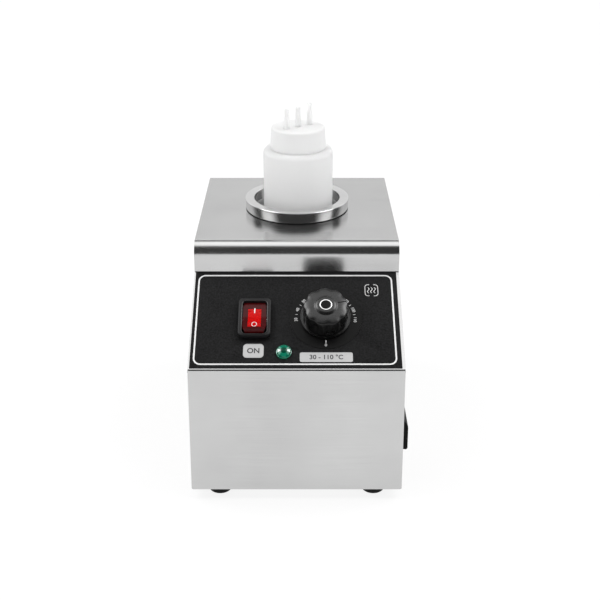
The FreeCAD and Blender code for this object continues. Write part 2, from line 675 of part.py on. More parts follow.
def make_well_ring():
    """Polished collar around the mouth, with a rebate over the flange and stud holes."""
    ring = new_body("well_ring")
    half = sketch_on(ring, "ring_section", "XZ_Plane")
    rebate = "pot_wall + rebate_gap"
    polygon(half, [
        ("ring_inner", rebate), ("pot_flange + pot_slack", rebate),
        ("pot_flange + pot_slack", "rebate_gap"), ("ring_outer - shadow_in", "rebate_gap"),
        ("ring_outer - shadow_in", "shadow_tall"), ("ring_outer", "shadow_tall"),
        ("ring_outer", "ring_tall"),
        ("ring_inner", "ring_tall")])
    revolve(ring, half, "ring_turn")
    tall = number("ring_tall")
    fillet(ring, "outer_lip", "ring_round", round_at(tall, number("ring_outer")))
    fillet(ring, "inner_lip", "ring_round / 2", round_at(tall, number("ring_inner")))
    holes = sketch_on(ring, "stud_holes", "XY_Plane")
    for right, back in stud_spots():
        circle(holes, "screw_radius", right, back)
    pocket(ring, holes, "stud_hole_cuts", "stud_into + 2 * pot_wall", flip=True)
    place(ring, "0", "well_back", "body_height")


def make_ring_fixings():
    """Studs screwed into the ring and their nuts under the roof plate."""
    studs = new_body("ring_studs")
    studs.AllowCompound = True
    ends = sketch_on(studs, "stud_ends", "XY_Plane")
    for right, back in stud_spots():
        circle(ends, "screw_radius", right, back)
    pad(studs, ends, "stud_pads", "sheet + nut_tall + stud_end + stud_into")
    place(studs, "0", "well_back", "body_height - sheet - nut_tall - stud_end")
    make_nut_group("ring_nuts", stud_spots(), "screw_radius", "nut_flats", "nut_tall",
                   ("0", "well_back", "body_height - sheet - nut_tall"))


def make_heater_band():
    """Split band heater around the well, with clamp ears and two terminal posts."""
    band = new_body("heater_band")
    ring = sketch_on(band, "band_ring", "XY_Plane")
    circle(ring, "heater_outer")
    circle(ring, "pot_outer + screw_slack / 2")
    pad(band, ring, "band", "heater_tall")
    ears = sketch_on(band, "ears", "XY_Plane", "heater_tall / 4")
    reach = "heater_outer + ear_long"
    for sign in ("-", ""):
        inner = f"{sign}heater_slit / 2"
        outer = f"{sign}(heater_slit / 2 + ear_thick)"
        polygon(ears, [(inner, "heater_outer - heater_thick / 2"), (inner, reach),
                       (outer, reach), (outer, "heater_outer - heater_thick / 2")])
    pad(band, ears, "clamp_ears", "heater_tall / 2")
    slit = sketch_on(band, "slit", "XY_Plane")
    rectangle(slit, "heater_slit", "4 * heater_thick", "0", "heater_outer")
    pocket(band, slit, "slit_cut", "heater_tall", flip=True)
    screw = sketch_on(band, "screw_hole", "YZ_Plane")
    circle(screw, "screw_radius + screw_slack", "heater_outer + ear_long / 2", "heater_tall / 2")
    pocket(band, screw, "screw_hole_cut", "4 * heater_slit", symmetric=True)
    posts = sketch_on(band, "posts", "XZ_Plane", "-(heater_outer + post_long)")
    for sign in ("-", ""):
        circle(posts, "post_radius", f"{sign}post_side", "post_up")
    pad(band, posts, "terminal_posts", "post_long + heater_thick / 2")
    place(band, "0", "well_back", "heater_low")


def make_heater_screw():
    """Clamp screw across the two ears of the band, with its nut."""
    screw = new_body("heater_clamp_screw")
    screw.AllowCompound = True
    level = ("heater_outer + ear_long / 2", "heater_tall / 2")
    outside = "heater_slit / 2 + ear_thick"
    head = sketch_on(screw, "head", "YZ_Plane", outside)
    circle(head, "screw_head", *level)
    pad(screw, head, "head_pad", "screw_head_tall")
    shank = sketch_on(screw, "shank", "YZ_Plane", outside)
    circle(shank, "screw_radius", *level)
    pad(screw, shank, "shank_pad", f"2 * ({outside}) + nut_tall + stud_end", flip=True)
    nut = sketch_on(screw, "nut", "YZ_Plane", f"-({outside})")
    hexagon(nut, "nut_flats", *level)
    pad(screw, nut, "nut_pad", "nut_tall", flip=True)
    place(screw, "0", "well_back", "heater_low")


def make_insulation():
    """Fibre blanket around the heater, open at the back for the clamp and terminals."""
    blanket = new_body("insulation_blanket")
    ring = sketch_on(blanket, "blanket_ring", "XY_Plane")
    circle(ring, "heater_outer + blanket_gap + blanket_thick")
    circle(ring, "heater_outer + blanket_gap")
    pad(blanket, ring, "blanket", "heater_tall")
    gap = sketch_on(blanket, "gap", "XY_Plane")
    rectangle(gap, "blanket_slit", "heater_outer / 2 + 2 * blanket_thick", "0",
              "3 * heater_outer / 4 + blanket_thick")
    pocket(blanket, gap, "gap_cut", "heater_tall", flip=True)
    place(blanket, "0", "well_back", "heater_low")


def strap_spots():
    return [("-strap_stud", "0"), ("strap_stud", "0")]


def make_safety_cutout():
    """Snap-disc cut-out held against the well floor by a strap on two welded studs."""
    disc = new_body("thermal_cutout")
    half = sketch_on(disc, "cutout_section", "XZ_Plane")
    polygon(half, [
        ("0", "0"), ("cutout_radius", "0"), ("cutout_radius", "-cutout_rim"),
        ("cutout_radius - cutout_step", "-cutout_rim"),
        ("cutout_radius - cutout_step", "-cutout_tall"),
        ("0", "-cutout_tall")])
    revolve(disc, half, "cutout_turn")
    tabs = sketch_on(disc, "tabs", "XY_Plane", "-cutout_tall + tab_out")
    for sign in ("-", ""):
        rectangle(tabs, "tab_width", "tab_thick", "0", f"{sign}(cutout_radius + tab_out)")
    pad(disc, tabs, "tab_pads", "tab_long", flip=True)
    arms = sketch_on(disc, "tab_arms", "XY_Plane", "-cutout_tall + tab_out")
    rectangle(arms, "tab_width", "2 * (cutout_radius + tab_out) + tab_thick")
    pad(disc, arms, "arm_pads", "tab_thick", flip=True)
    place(disc, "0", "well_back", "pot_low")

    strap = new_body("cutout_strap")
    flat = sketch_on(strap, "strap_outline", "XY_Plane", "-cutout_rim - strap_thick")
    rectangle(flat, "strap_long", "strap_width")
    pad(strap, flat, "strap_flat", "strap_thick")
    bore = sketch_on(strap, "strap_holes", "XY_Plane")
    circle(bore, "cutout_radius - cutout_step + screw_slack")
    for right, back in strap_spots():
        circle(bore, "screw_radius + screw_slack", right, back)
    pocket(strap, bore, "strap_cuts", "cutout_tall")
    place(strap, "0", "well_back", "pot_low")

    studs = new_body("cutout_studs")
    studs.AllowCompound = True
    ends = sketch_on(studs, "stud_ends", "XY_Plane")
    for right, back in strap_spots():
        circle(ends, "screw_radius", right, back)
    pad(studs, ends, "stud_pads", "cutout_rim + strap_thick + nut_tall + stud_end", flip=True)
    place(studs, "0", "well_back", "pot_low")
    make_nut_group("cutout_nuts", strap_spots(), "screw_radius", "nut_flats", "nut_tall",
                   ("0", "well_back", "pot_low - cutout_rim - strap_thick - nut_tall"))


# Thermostat and knob

def make_thermostat():
    """Case behind the panel with its threaded plate, neck and terminals."""
    case = new_body("thermostat_case")
    plate = sketch_on(case, "front_plate", "XY_Plane")
    rectangle(plate, "case_wide", "case_long")
    pad(case, plate, "plate_pad", "case_plate", flip=True)
    box = sketch_on(case, "case_outline", "XY_Plane", "-case_plate")
    rectangle(box, "case_wide - 2 * case_inset", "case_long - 2 * case_inset")
    pad(case, box, "case_pad", "case_deep", flip=True)
    neck = sketch_on(case, "neck", "XY_Plane")
    circle(neck, "neck_radius")
    pad(case, neck, "neck_pad", "panel_stack")
    tabs = sketch_on(case, "terminal_tabs", "XY_Plane", "-(case_plate + case_deep)")
    for sign in ("-", ""):
        rectangle(tabs, "tab_thick", "tab_width", f"{sign}case_wide / 4")
    pad(case, tabs, "tab_pads", "tab_long", flip=True)
    bore = sketch_on(case, "shaft_bore", "XY_Plane", "panel_stack")
    circle(bore, "shaft_radius + shaft_slack")
    pocket(case, bore, "bore_cut", "panel_stack + shaft_in + shaft_end")
    threads = sketch_on(case, "thread_holes", "XY_Plane")
    for sign in ("-", ""):
        circle(threads, "mount_screw", f"{sign}mount_pitch / 2")
    pocket(case, threads, "thread_cuts", "case_plate + thread_deep")
    on_panel(case, "dial_right", "dial_along", "-panel_stack")

    shaft = new_body("thermostat_shaft")
    rod = sketch_on(shaft, "rod", "XY_Plane", "-(panel_stack + shaft_in)")
    circle(rod, "shaft_radius")
    pad(shaft, rod, "rod_pad", "panel_stack + shaft_in + shaft_out")
    flat = sketch_on(shaft, "flat", "XY_Plane", "knob_lift + knob_wall")
    rectangle(flat, "4 * shaft_radius", "2 * shaft_flat", "0", "shaft_radius")
    pocket(shaft, flat, "flat_cut", "shaft_out", flip=True)
    on_panel(shaft, "dial_right", "dial_along")


def make_bulb():
    """Sensing bulb upright against the front of the well, in a spring clip."""
    bulb = new_body("thermostat_bulb")
    rod = sketch_on(bulb, "rod", "XY_Plane")
    circle(rod, "bulb_radius")
    pad(bulb, rod, "rod_pad", "bulb_long")
    chamfer(bulb, "ends", "bulb_radius / 2", lambda edge: edge.Curve.TypeId == "Part::GeomCircle")
    place(bulb, "0", "bulb_back", "bulb_low")

    clip = new_body("bulb_clip")
    outer = "bulb_radius + shaft_slack + clip_thick"
    hoop = sketch_on(clip, "hoop", "XY_Plane")
    circle(hoop, outer)
    pad(clip, hoop, "hoop_pad", "clip_tall")
    legs = sketch_on(clip, "legs", "XY_Plane")
    rectangle(legs, f"2 * ({outer})", "2 * bulb_radius", "0", "bulb_radius")
    pad(clip, legs, "leg_pad", "clip_tall")
    bore = sketch_on(clip, "bore", "XY_Plane")
    circle(bore, "bulb_radius + shaft_slack")
    pocket(clip, bore, "bore_cut", "clip_tall", flip=True)
    slot = sketch_on(clip, "slot", "XY_Plane")
    rectangle(slot, "2 * bulb_radius + 2 * shaft_slack", "4 * bulb_radius", "0", "2 * bulb_radius")
    pocket(clip, slot, "slot_cut", "clip_tall", flip=True)
    wall = sketch_on(clip, "well_wall", "XY_Plane")
    circle(wall, "pot_outer", "0", "pot_outer + bulb_radius + shaft_slack")
    pocket(clip, wall, "wall_cut", "clip_tall", flip=True)
    place(clip, "0", "bulb_back", "bulb_low + (bulb_long - clip_tall) / 2")


def bent_wire(points, radius):
    """A round rod along straight runs joined by tangent arcs, each as large as fits."""
    spots = [FreeCAD.Vector(*point) for point in points]
    edges, start = [], spots[0]
    for before, corner, after in zip(spots, spots[1:], spots[2:]):
        one, two = before - corner, after - corner
        reach = 0.45 * min(one.Length, two.Length)
        one.normalize()
        two.normalize()
        inward = (one + two).normalize()
        half = one.getAngle(inward)
        bend = reach * math.tan(half)
        middle = corner + inward * (reach / math.cos(half) - bend)
        first, last = corner + one * reach, corner + two * reach
        edges += [Part.LineSegment(start, first).toShape(), Part.Arc(first, middle, last).toShape()]
        start = last
    edges.append(Part.LineSegment(start, spots[-1]).toShape())
    section = Part.Wire(Part.makeCircle(radius, spots[0], spots[1] - spots[0]))
    return Part.Wire(edges).makePipeShell([section], True, True)


def make_capillary():
    """Copper tube from the back of the thermostat case up into the bulb."""
    slope = math.radians(number("panel_slope"))
    depth = number("panel_stack") + number("case_plate") + number("case_deep")
    front = -number("middle_back")
    middle = -number("middle_right")
    run = number("dial_along") * math.cos(slope) + depth * math.sin(slope) + front
    rise = (number("front_height") + number("foot_height")
            + number("dial_along") * math.sin(slope) - depth * math.cos(slope))
    lead = number("tube_lead")
    right = number("dial_right")
    bulb_y = number("bulb_back") + front
    bulb_z = number("bulb_low") + number("foot_height")
    low = bulb_z - number("tube_rise")
    points = [
        (middle + right, run, rise),
        (middle + right, run + lead * math.sin(slope), rise - lead * math.cos(slope)),
        (middle + right * 0.75, run + 0.35 * (bulb_y - run), rise - lead - number("tube_sag")),
        (middle + right * 0.3, run + 0.65 * (bulb_y - run), low - number("tube_dip")),
        (middle, bulb_y, low),
        (middle, bulb_y, bulb_z)]
    tube = doc.addObject("Part::Feature", "capillary_tube")
    tube.Label = "capillary_tube"
    tube.Shape = bent_wire(points, number("tube_radius"))
    nodes.append(tube)


def make_mount_screws():
    screws = make_screw_group(
        "thermostat_screws", "XY_Plane", "dial_thick",
        [("-mount_pitch / 2", "0"), ("mount_pitch / 2", "0")],
        "mount_screw", "mount_head", "mount_head_tall",
        "dial_thick + panel_stack + case_plate + mount_grip")
    on_panel(screws, "dial_right", "dial_along")


def make_dial_plate():
    """Smooth round dial sheet under the knob; its marks are printed."""
    dial = new_body("dial_plate")
    disc = sketch_on(dial, "disc", "XY_Plane")
    circle(disc, "dial_radius")
    circle(disc, "neck_radius + screw_slack")
    for sign in ("-", ""):
        circle(disc, "mount_screw + screw_slack", f"{sign}mount_pitch / 2")
    pad(dial, disc, "disc_pad", "dial_thick")
    on_panel(dial, "dial_right", "dial_along")


def make_knob():
    """Hollow fluted knob with a flat skirt, a domed face, a raised hub and a pointer groove."""
    knob = new_body("knob")
    half = sketch_on(knob, "knob_section", "XZ_Plane")
    face = "knob_lift + knob_tall"
    ceiling = "knob_lift + skirt_tall + skirt_web"
    polygon(half, [
        ("0", ceiling), ("grip_radius - grip_wall", ceiling),
        ("grip_radius - grip_wall", "knob_lift"),
        ("skirt_radius", "knob_lift"), ("skirt_radius", "knob_lift + skirt_tall"),
        ("grip_radius + cove_out", "knob_lift + skirt_tall + cove_low"),
        ("grip_radius", "knob_lift + skirt_tall + cove_high"), ("grip_top", f"{face} - face_drop"),
        ("face_break", f"{face} - break_drop"), ("hub_radius", face),
        ("hub_top", f"{face} + hub_tall"), ("0", f"{face} + hub_tall")])
    revolve(knob, half, "knob_turn")
    top = number("knob_lift") + number("knob_tall") - number("face_drop")
    fillet(knob, "face_edge", "face_round", round_at(top, number("grip_top")))
    hollow = sketch_on(knob, "hollow", "XY_Plane", ceiling)
    circle(hollow, "grip_top - flute_depth - 2 * knob_wall")
    circle(hollow, "boss_radius")
    pocket(knob, hollow, "hollow_cut", "knob_tall - skirt_tall - 2 * knob_wall", flip=True)
    boss = sketch_on(knob, "boss_end", "XY_Plane", "knob_lift + knob_wall")
    circle(boss, "boss_radius")
    pad(knob, boss, "boss_pad", "skirt_tall + skirt_web - knob_wall")
    bore = sketch_on(knob, "shaft_bore", "XY_Plane", "knob_lift + knob_wall")
    circle(bore, "shaft_radius")
    pocket(knob, bore, "bore_cut", "shaft_out - knob_lift - knob_wall", flip=True)
    seat = sketch_on(knob, "badge_seat", "XY_Plane", f"{face} + hub_tall")
    circle(seat, "badge_radius")
    pocket(knob, seat, "seat_cut", "badge_thick")
    line = sketch_on(knob, "pointer", "XY_Plane", face)
    corners = (("pointer_start", "-"), ("skirt_radius", "-"), ("skirt_radius", ""),
               ("pointer_start", ""))
    polygon(line, [(f"{reach} * cos(pointer_turn) - ({sign}pointer_width / 2) * sin(pointer_turn)",
                    f"{reach} * sin(pointer_turn) + ({sign}pointer_width / 2) * cos(pointer_turn)")
                   for reach, sign in corners])
    pocket(knob, line, "pointer_cut", "face_drop + pointer_deep")
    flute = sketch_on(knob, "flute", "XY_Plane", "knob_lift + skirt_tall + flute_foot")
    circle(flute, "flute_radius", "flute_centre * cos(pointer_turn + 180 / flute_count)",
           "flute_centre * sin(pointer_turn + 180 / flute_count)")
    first = pocket(knob, flute, "first_flute", "knob_tall", flip=True)
    around(knob, first, "flutes", "flute_count", flute)
    on_panel(knob, "dial_right", "dial_along")

    badge = new_body("knob_badge")
    disc = sketch_on(badge, "disc", "XY_Plane", f"{face} + hub_tall - badge_thick")
    circle(disc, "badge_radius")
    pad(badge, disc, "disc_pad", "badge_thick")
    on_panel(badge, "dial_right", "dial_along")


# Rocker switch

def make_switch():
    """Switch frame with its rounded bezel, open box and four rear tabs."""
    frame = new_body("switch_housing")
    bezel = sketch_on(frame, "bezel", "XY_Plane")
    rectangle(bezel, "bezel_wide", "bezel_long")
    pad(frame, bezel, "bezel_pad", "bezel_tall")
    fillet(frame, "bezel_corners", "bezel_round", lambda edge: parallel(edge, ALONG_Z))
    tall = number("bezel_tall")
    fillet(frame, "bezel_edge", "bezel_lip", lambda edge: edge.BoundBox.ZMin > tall - 0.01)
    box = sketch_on(frame, "box", "XY_Plane")
    rectangle(box, "switch_wide", "switch_long")
    pad(frame, box, "box_pad", "switch_deep", flip=True)
    opening = sketch_on(frame, "opening", "XY_Plane", "bezel_tall")
    rectangle(opening, "rocker_wide + 2 * rocker_slack", "2 * rocker_wall")
    pocket(frame, opening, "opening_cut", "bezel_tall + well_of_switch")
    axle = sketch_on(frame, "axle_bores", "YZ_Plane")
    circle(axle, "axle_radius", "0", "rocker_pivot")
    pocket(frame, axle, "axle_cuts", "switch_wide", symmetric=True)
    on_panel(frame, "switch_right", "switch_along")

    tabs = new_body("switch_terminals")
    tabs.AllowCompound = True
    ends = sketch_on(tabs, "tab_ends", "XY_Plane", "-switch_deep")
    for sign in ("-", ""):
        for other in ("-", ""):
            rectangle(ends, "tab_thick", "tab_width", f"{sign}switch_wide / 4",
                      f"{other}switch_long / 4")
    pad(tabs, ends, "tab_pads", "tab_long", flip=True)
    on_panel(tabs, "switch_right", "switch_along")


def make_rocker():
    """Rocker with a hollowed top and round ends about its pivot; at rest it is on."""
    rocker = new_body("switch_rocker")
    drum = sketch_on(rocker, "drum", "YZ_Plane")
    circle(drum, "rocker_reach")
    pad(rocker, drum, "drum_pad", "rocker_wide", symmetric=True)
    above = sketch_on(rocker, "top_shape", "YZ_Plane")
    wide, end = "2 * rocker_reach", "rocker_end - rocker_pivot"
    polygon(above, [
        (f"-({wide})", f"{end} + (rocker_end - rocker_middle)"),
        ("0", "rocker_middle - rocker_pivot"),
        (wide, f"{end} + (rocker_end - rocker_middle)"), (wide, wide), (f"-({wide})", wide)])
    pocket(rocker, above, "top_cut", "2 * rocker_wide", symmetric=True)
    under = sketch_on(rocker, "keel_shape", "YZ_Plane")
    polygon(under, [(f"-({wide})", "-rocker_keel"), (wide, "-rocker_keel"),
                    (wide, f"-({wide})"), (f"-({wide})", f"-({wide})")])
    pocket(rocker, under, "keel_cut", "2 * rocker_wide", symmetric=True)
    axle = sketch_on(rocker, "pivot_bore", "YZ_Plane")
    circle(axle, "axle_radius + shaft_slack")
    pocket(rocker, axle, "pivot_cut", "2 * rocker_wide", symmetric=True)
    on_panel(rocker, "switch_right", "switch_along", "rocker_pivot", "-rocker_tilt")

    pin = new_body("rocker_pin")
    rod = sketch_on(pin, "pin", "YZ_Plane")
    circle(rod, "axle_radius")
    pad(pin, rod, "pin_pad", "switch_wide", symmetric=True)
    on_panel(pin, "switch_right", "switch_along", "rocker_pivot")


# Pilot lamp

def make_lamp():
    """Green domed lens on a threaded barrel with a nut behind the panel."""
    lens = new_body("lamp_lens")
    half = sketch_on(lens, "lens_section", "XZ_Plane")
    polygon(half, [
        ("0", "0"), ("lens_radius", "0"), ("lens_radius", "lens_rim"),
        ("lens_shoulder", "shoulder_up"), ("lens_crown", "crown_up"), ("0", "lens_top")])
    revolve(lens, half, "lens_turn")
    on_panel(lens, "lamp_right", "lamp_along")

    barrel = new_body("lamp_barrel")
    tube = sketch_on(barrel, "tube", "XY_Plane")
    circle(tube, "lamp_radius")
    pad(barrel, tube, "tube_pad", "lamp_deep", flip=True)
    tabs = sketch_on(barrel, "tabs", "XY_Plane", "-lamp_deep")
    for sign in ("-", ""):
        rectangle(tabs, "tab_thick", "tab_width / 2", f"{sign}lamp_radius / 2")
    pad(barrel, tabs, "tab_pads", "tab_long", flip=True)
    on_panel(barrel, "lamp_right", "lamp_along")

    nut = make_nut_group("lamp_nut_ring", [("0", "0")], "lamp_radius", "lamp_nut",
                         "nut_tall", ("0", "0", "0"))
    on_panel(nut, "lamp_right", "lamp_along", "-panel_stack - nut_tall")


# Power inlet

def make_inlet():
    """Moulded inlet with a sloped top: socket cavity, three pins and two screws."""
    inlet = new_body("inlet_housing")
    side = sketch_on(inlet, "inlet_section", "YZ_Plane")
    low, high = "-inlet_high / 2", "inlet_high / 2"
    polygon(side, [
        (low, "0"), (high, "0"), (high, "inlet_edge"),
        (f"{high} - inlet_taper", "inlet_out"), (low, "inlet_out")])
    pad(inlet, side, "inlet_block", "inlet_wide", symmetric=True)

    def outer_edges(edge):
        return abs(edge.CenterOfMass.z - number("inlet_out")) < 0.01 or (
            parallel(edge, ALONG_Z) and edge.BoundBox.ZMin < 0.01)
    fillet(inlet, "inlet_rounds", "inlet_round", outer_edges)
    box = sketch_on(inlet, "socket_box", "XY_Plane")
    rectangle(box, "socket_wide", "socket_high", "0", "-socket_drop")
    pad(inlet, box, "socket_pad", "socket_deep", flip=True)
    cavity = sketch_on(inlet, "cavity", "XY_Plane", "inlet_out")
    left, top = "cavity_wide / 2", "cavity_high / 2"
    polygon(cavity, [
        (f"-{left}", f"-socket_drop - {top}"), (left, f"-socket_drop - {top}"),
        (left, f"-socket_drop + {top} - cavity_bevel"),
        (f"{left} - cavity_bevel", f"-socket_drop + {top}"),
        (f"-{left} + cavity_bevel", f"-socket_drop + {top}"),
        (f"-{left}", f"-socket_drop + {top} - cavity_bevel")])
    pocket(inlet, cavity, "cavity_cut", "inlet_out + cavity_deep")
    holes = sketch_on(inlet, "screw_holes", "XY_Plane", "inlet_out")
    for sign in ("-", ""):
        circle(holes, "screw_radius + screw_slack", f"{sign}inlet_screw_pitch / 2", "-socket_drop")
    pocket(inlet, holes, "screw_cuts", "2 * inlet_out")
    seats = sketch_on(inlet, "screw_seats", "XY_Plane", "inlet_out")
    for sign in ("-", ""):
        circle(seats, "screw_head + screw_slack", f"{sign}inlet_screw_pitch / 2", "-socket_drop")
    pocket(inlet, seats, "seat_cuts", "inlet_out - 2 * screw_head_tall")
    pin_seats = sketch_on(inlet, "pin_seats", "XY_Plane", "-cavity_deep")
    for across, up in pin_spots():
        rectangle(pin_seats, "pin_thick", "pin_wide", across, up)
    pocket(inlet, pin_seats, "pin_seat_cuts", "socket_deep")
    on_side(inlet, "inlet_back", "inlet_up")

    pins = new_body("inlet_pins")
    pins.AllowCompound = True
    ends = sketch_on(pins, "pin_ends", "XY_Plane", "-socket_deep")
    for across, up in pin_spots():
        rectangle(ends, "pin_thick", "pin_wide", across, up)
    pad(pins, ends, "pin_pads", "socket_deep - cavity_deep + pin_out")
    rear = sketch_on(pins, "rear_tabs", "XY_Plane", "-socket_deep")
    for across, up in pin_spots():
        rectangle(rear, "tab_thick", "pin_wide", across, up)
    pad(pins, rear, "rear_tab_pads", "tab_long", flip=True)
    on_side(pins, "inlet_back", "inlet_up")

    screws = make_screw_group(
        "inlet_screws", "XY_Plane", "2 * screw_head_tall",
        [(f"{sign}inlet_screw_pitch / 2", "-socket_drop") for sign in ("-", "")],
        "screw_radius", "screw_head", "screw_head_tall", "2 * screw_head_tall + 4 * sheet")
    on_side(screws, "inlet_back", "inlet_up")


def pin_spots():
    """Earth pin above, live and neutral below, from the inlet's centre."""
    return [("0", "-socket_drop + pin_step / 2"), ("-pin_pitch", "-socket_drop - pin_step / 2"),
            ("pin_pitch", "-socket_drop - pin_step / 2")]


# Supply terminals

def make_terminals():
    """Three-way block on the floor and an earth stud with its nut."""
    block = new_body("terminal_block")
    foot = sketch_on(block, "block_outline", "XY_Plane")
    rectangle(foot, "block_wide", "block_long")
    pad(block, foot, "block_pad", "block_base")
    towers = sketch_on(block, "towers", "XY_Plane", "block_base")
    for step in ("-block_pitch", "0", "block_pitch"):
        rectangle(towers, "tower_wide", "block_long", step)
    pad(block, towers, "tower_pads", "block_tall - block_base")
    ways = sketch_on(block, "wire_ways", "XZ_Plane")
    for step in ("-block_pitch", "0", "block_pitch"):
        circle(ways, "block_hole / 2", step, "way_up")
    pocket(block, ways, "way_cuts", "2 * block_long", symmetric=True)
    wells = sketch_on(block, "screw_wells", "XY_Plane", "block_tall")
    for step in ("-block_pitch", "0", "block_pitch"):
        circle(wells, "tower_bore", step)
    pocket(block, wells, "well_cuts", "block_tall - block_base")
    place(block, "block_right", "block_back", "2 * sheet")

    screws = new_body("terminal_screws")
    screws.AllowCompound = True
    ends = sketch_on(screws, "screw_ends", "XY_Plane", "block_base")
    for step in ("-block_pitch", "0", "block_pitch"):
        circle(ends, "tower_head", step)
    pad(screws, ends, "screw_pads", "tower_head_tall")
    place(screws, "block_right", "block_back", "2 * sheet")

    stud = make_screw_group("earth_stud", "XY_Plane", "0", [("earth_right", "earth_back")],
                            "earth_radius", "earth_head", "sheet", "earth_tall")
    place(stud, "0", "0", "sheet", ALONG_X, "180")
    stud.setExpression("Placement.Base.y", bind("2 * earth_back - middle_back"))
    make_nut_group("earth_nut", [("earth_right", "earth_back")], "earth_radius",
                   "earth_nut_flats", "nut_tall", ("0", "0", "2 * sheet"))


# Bottle

def make_bottle():
    """Soft squeeze bottle: straight wall, rounded shoulder and a neck for the cap."""
    bottle = new_body("bottle")
    half = sketch_on(bottle, "bottle_section", "XZ_Plane")
    polygon(half, [
        ("0", "0"), ("bottle_radius", "0"), ("bottle_radius", "bottle_tall"),
        ("neck_outer", "bottle_tall"), ("neck_outer", "bottle_tall + neck_tall"),
        ("neck_inner", "bottle_tall + neck_tall"), ("neck_inner", "bottle_tall - bottle_wall"),
        ("bottle_radius - bottle_wall", "bottle_tall - bottle_wall"),
        ("bottle_radius - bottle_wall", "bottle_wall"), ("0", "bottle_wall")])
    revolve(bottle, half, "bottle_turn")
    tall = number("bottle_tall")
    wall = number("bottle_wall")
    inside = number("bottle_radius") - wall
    fillet(bottle, "inner_shoulder", "shoulder_tall - bottle_wall", round_at(tall - wall, inside))
    fillet(bottle, "outer_shoulder", "shoulder_tall", round_at(tall, number("bottle_radius")))
    fillet(bottle, "inner_heel", "bottle_foot - bottle_wall / 2", round_at(wall, inside))
    fillet(bottle, "outer_heel", "bottle_foot", round_at(0, number("bottle_radius")))
    place(bottle, "bottle_right", "well_back", "pot_floor")


def make_bottle_cap():
    """Screw cap with a slight taper and three hollow nozzles in a row."""
    cap = new_body("bottle_cap")
    half = sketch_on(cap, "cap_section", "XZ_Plane")
    inner = "neck_outer + cap_slack"
    polygon(half, [
        (inner, "cap_slack"), ("cap_radius", "cap_slack"), ("cap_top", "cap_tall"),
        ("0", "cap_tall"), ("0", "cap_inside"), (inner, "cap_inside")])
    revolve(cap, half, "cap_turn")
    fillet(cap, "cap_edge", "cap_round", round_at(number("cap_tall"), number("cap_top")))
    for order, step in enumerate(("-nozzle_pitch", "0", "nozzle_pitch")):
        right, back = f"{step} * cos(nozzle_turn)", f"{step} * sin(nozzle_turn)"
        root = sketch_on(cap, f"nozzle_root_{order}", "XY_Plane", "cap_tall")
        circle(root, "nozzle_radius", right, back)
        tip = sketch_on(cap, f"nozzle_tip_{order}", "XY_Plane", "cap_tall + nozzle_tall")
        circle(tip, "nozzle_tip", right, back)
        loft = cap.newObject("PartDesign::AdditiveLoft", f"nozzle_{order}")
        loft.Profile = root
        loft.Sections = [tip]
        doc.recompute()
    bores = sketch_on(cap, "nozzle_bores", "XY_Plane", "cap_tall + nozzle_tall")
    for step in ("-nozzle_pitch", "0", "nozzle_pitch"):
        circle(bores, "nozzle_bore", f"{step} * cos(nozzle_turn)", f"{step} * sin(nozzle_turn)")
    pocket(cap, bores, "bore_cuts", "nozzle_tall + 2 * cap_wall")
    place(cap, "bottle_right", "well_back", "pot_floor + cap_low")

    seal = new_body("cap_seal")
    ring = sketch_on(seal, "seal_ring", "XY_Plane")
    circle(ring, "neck_outer")
    circle(ring, "neck_inner - seal_lip")
    pad(seal, ring, "seal_pad", "cap_inside - neck_tall")
    place(seal, "bottle_right", "well_back", "pot_floor + seal_low")


def main():
    make_body_shell()
    make_top_cover()
    make_control_panel()
    make_panel_overlay()
    make_base_plate()
    make_back_panel()
    make_back_screws()
    make_feet()
    make_foot_screws()
    make_well_pot()
    make_well_ring()
    make_ring_fixings()
    make_heater_band()
    make_heater_screw()
    make_insulation()
    make_safety_cutout()
    make_thermostat()
    make_bulb()
    make_capillary()
    make_mount_screws()
    make_dial_plate()
    make_knob()
    make_switch()
    make_rocker()
    make_lamp()
    make_inlet()
    make_terminals()
    make_bottle()
    make_bottle_cap()
    doc.recompute()
    for item in doc.Objects:
        if "Invalid" in item.State or "Error" in item.State:
            raise RuntimeError(f"{item.Label} failed: {item.State}")
    for node in nodes:
        if node.Shape.isNull() or not node.Shape.isValid() or not node.Shape.Solids:
            raise RuntimeError(f"{node.Label} has no sound shape")
    for node in nodes:
        node.Shape.exportStep(f"parts/{node.Label}.step")


main()
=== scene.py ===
import bmesh
import bpy
import json
import math
from mathutils import Matrix, Vector


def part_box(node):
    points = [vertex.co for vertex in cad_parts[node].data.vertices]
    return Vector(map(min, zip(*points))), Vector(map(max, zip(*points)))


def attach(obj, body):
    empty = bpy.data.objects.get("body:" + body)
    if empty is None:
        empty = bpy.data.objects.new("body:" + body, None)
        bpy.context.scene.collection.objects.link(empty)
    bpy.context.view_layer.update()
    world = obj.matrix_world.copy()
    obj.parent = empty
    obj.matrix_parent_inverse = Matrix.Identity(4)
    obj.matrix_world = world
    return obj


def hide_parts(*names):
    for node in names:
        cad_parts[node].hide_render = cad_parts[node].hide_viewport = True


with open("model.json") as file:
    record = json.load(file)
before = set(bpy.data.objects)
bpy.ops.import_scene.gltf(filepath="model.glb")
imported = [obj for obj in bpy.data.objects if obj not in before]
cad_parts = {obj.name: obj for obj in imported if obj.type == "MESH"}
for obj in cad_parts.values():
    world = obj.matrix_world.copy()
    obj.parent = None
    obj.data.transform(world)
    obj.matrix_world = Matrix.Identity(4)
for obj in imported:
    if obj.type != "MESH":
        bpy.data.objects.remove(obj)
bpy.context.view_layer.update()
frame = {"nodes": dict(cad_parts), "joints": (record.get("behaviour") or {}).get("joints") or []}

# Looks of a chocolate melter: brushed steel box, printed control panel, heated well and
# squeeze bottle. Shapes are drawn in millimetres and scaled to the frame's metres.
MM = 0.001
IN_MM = Matrix.Scale(MM, 4)

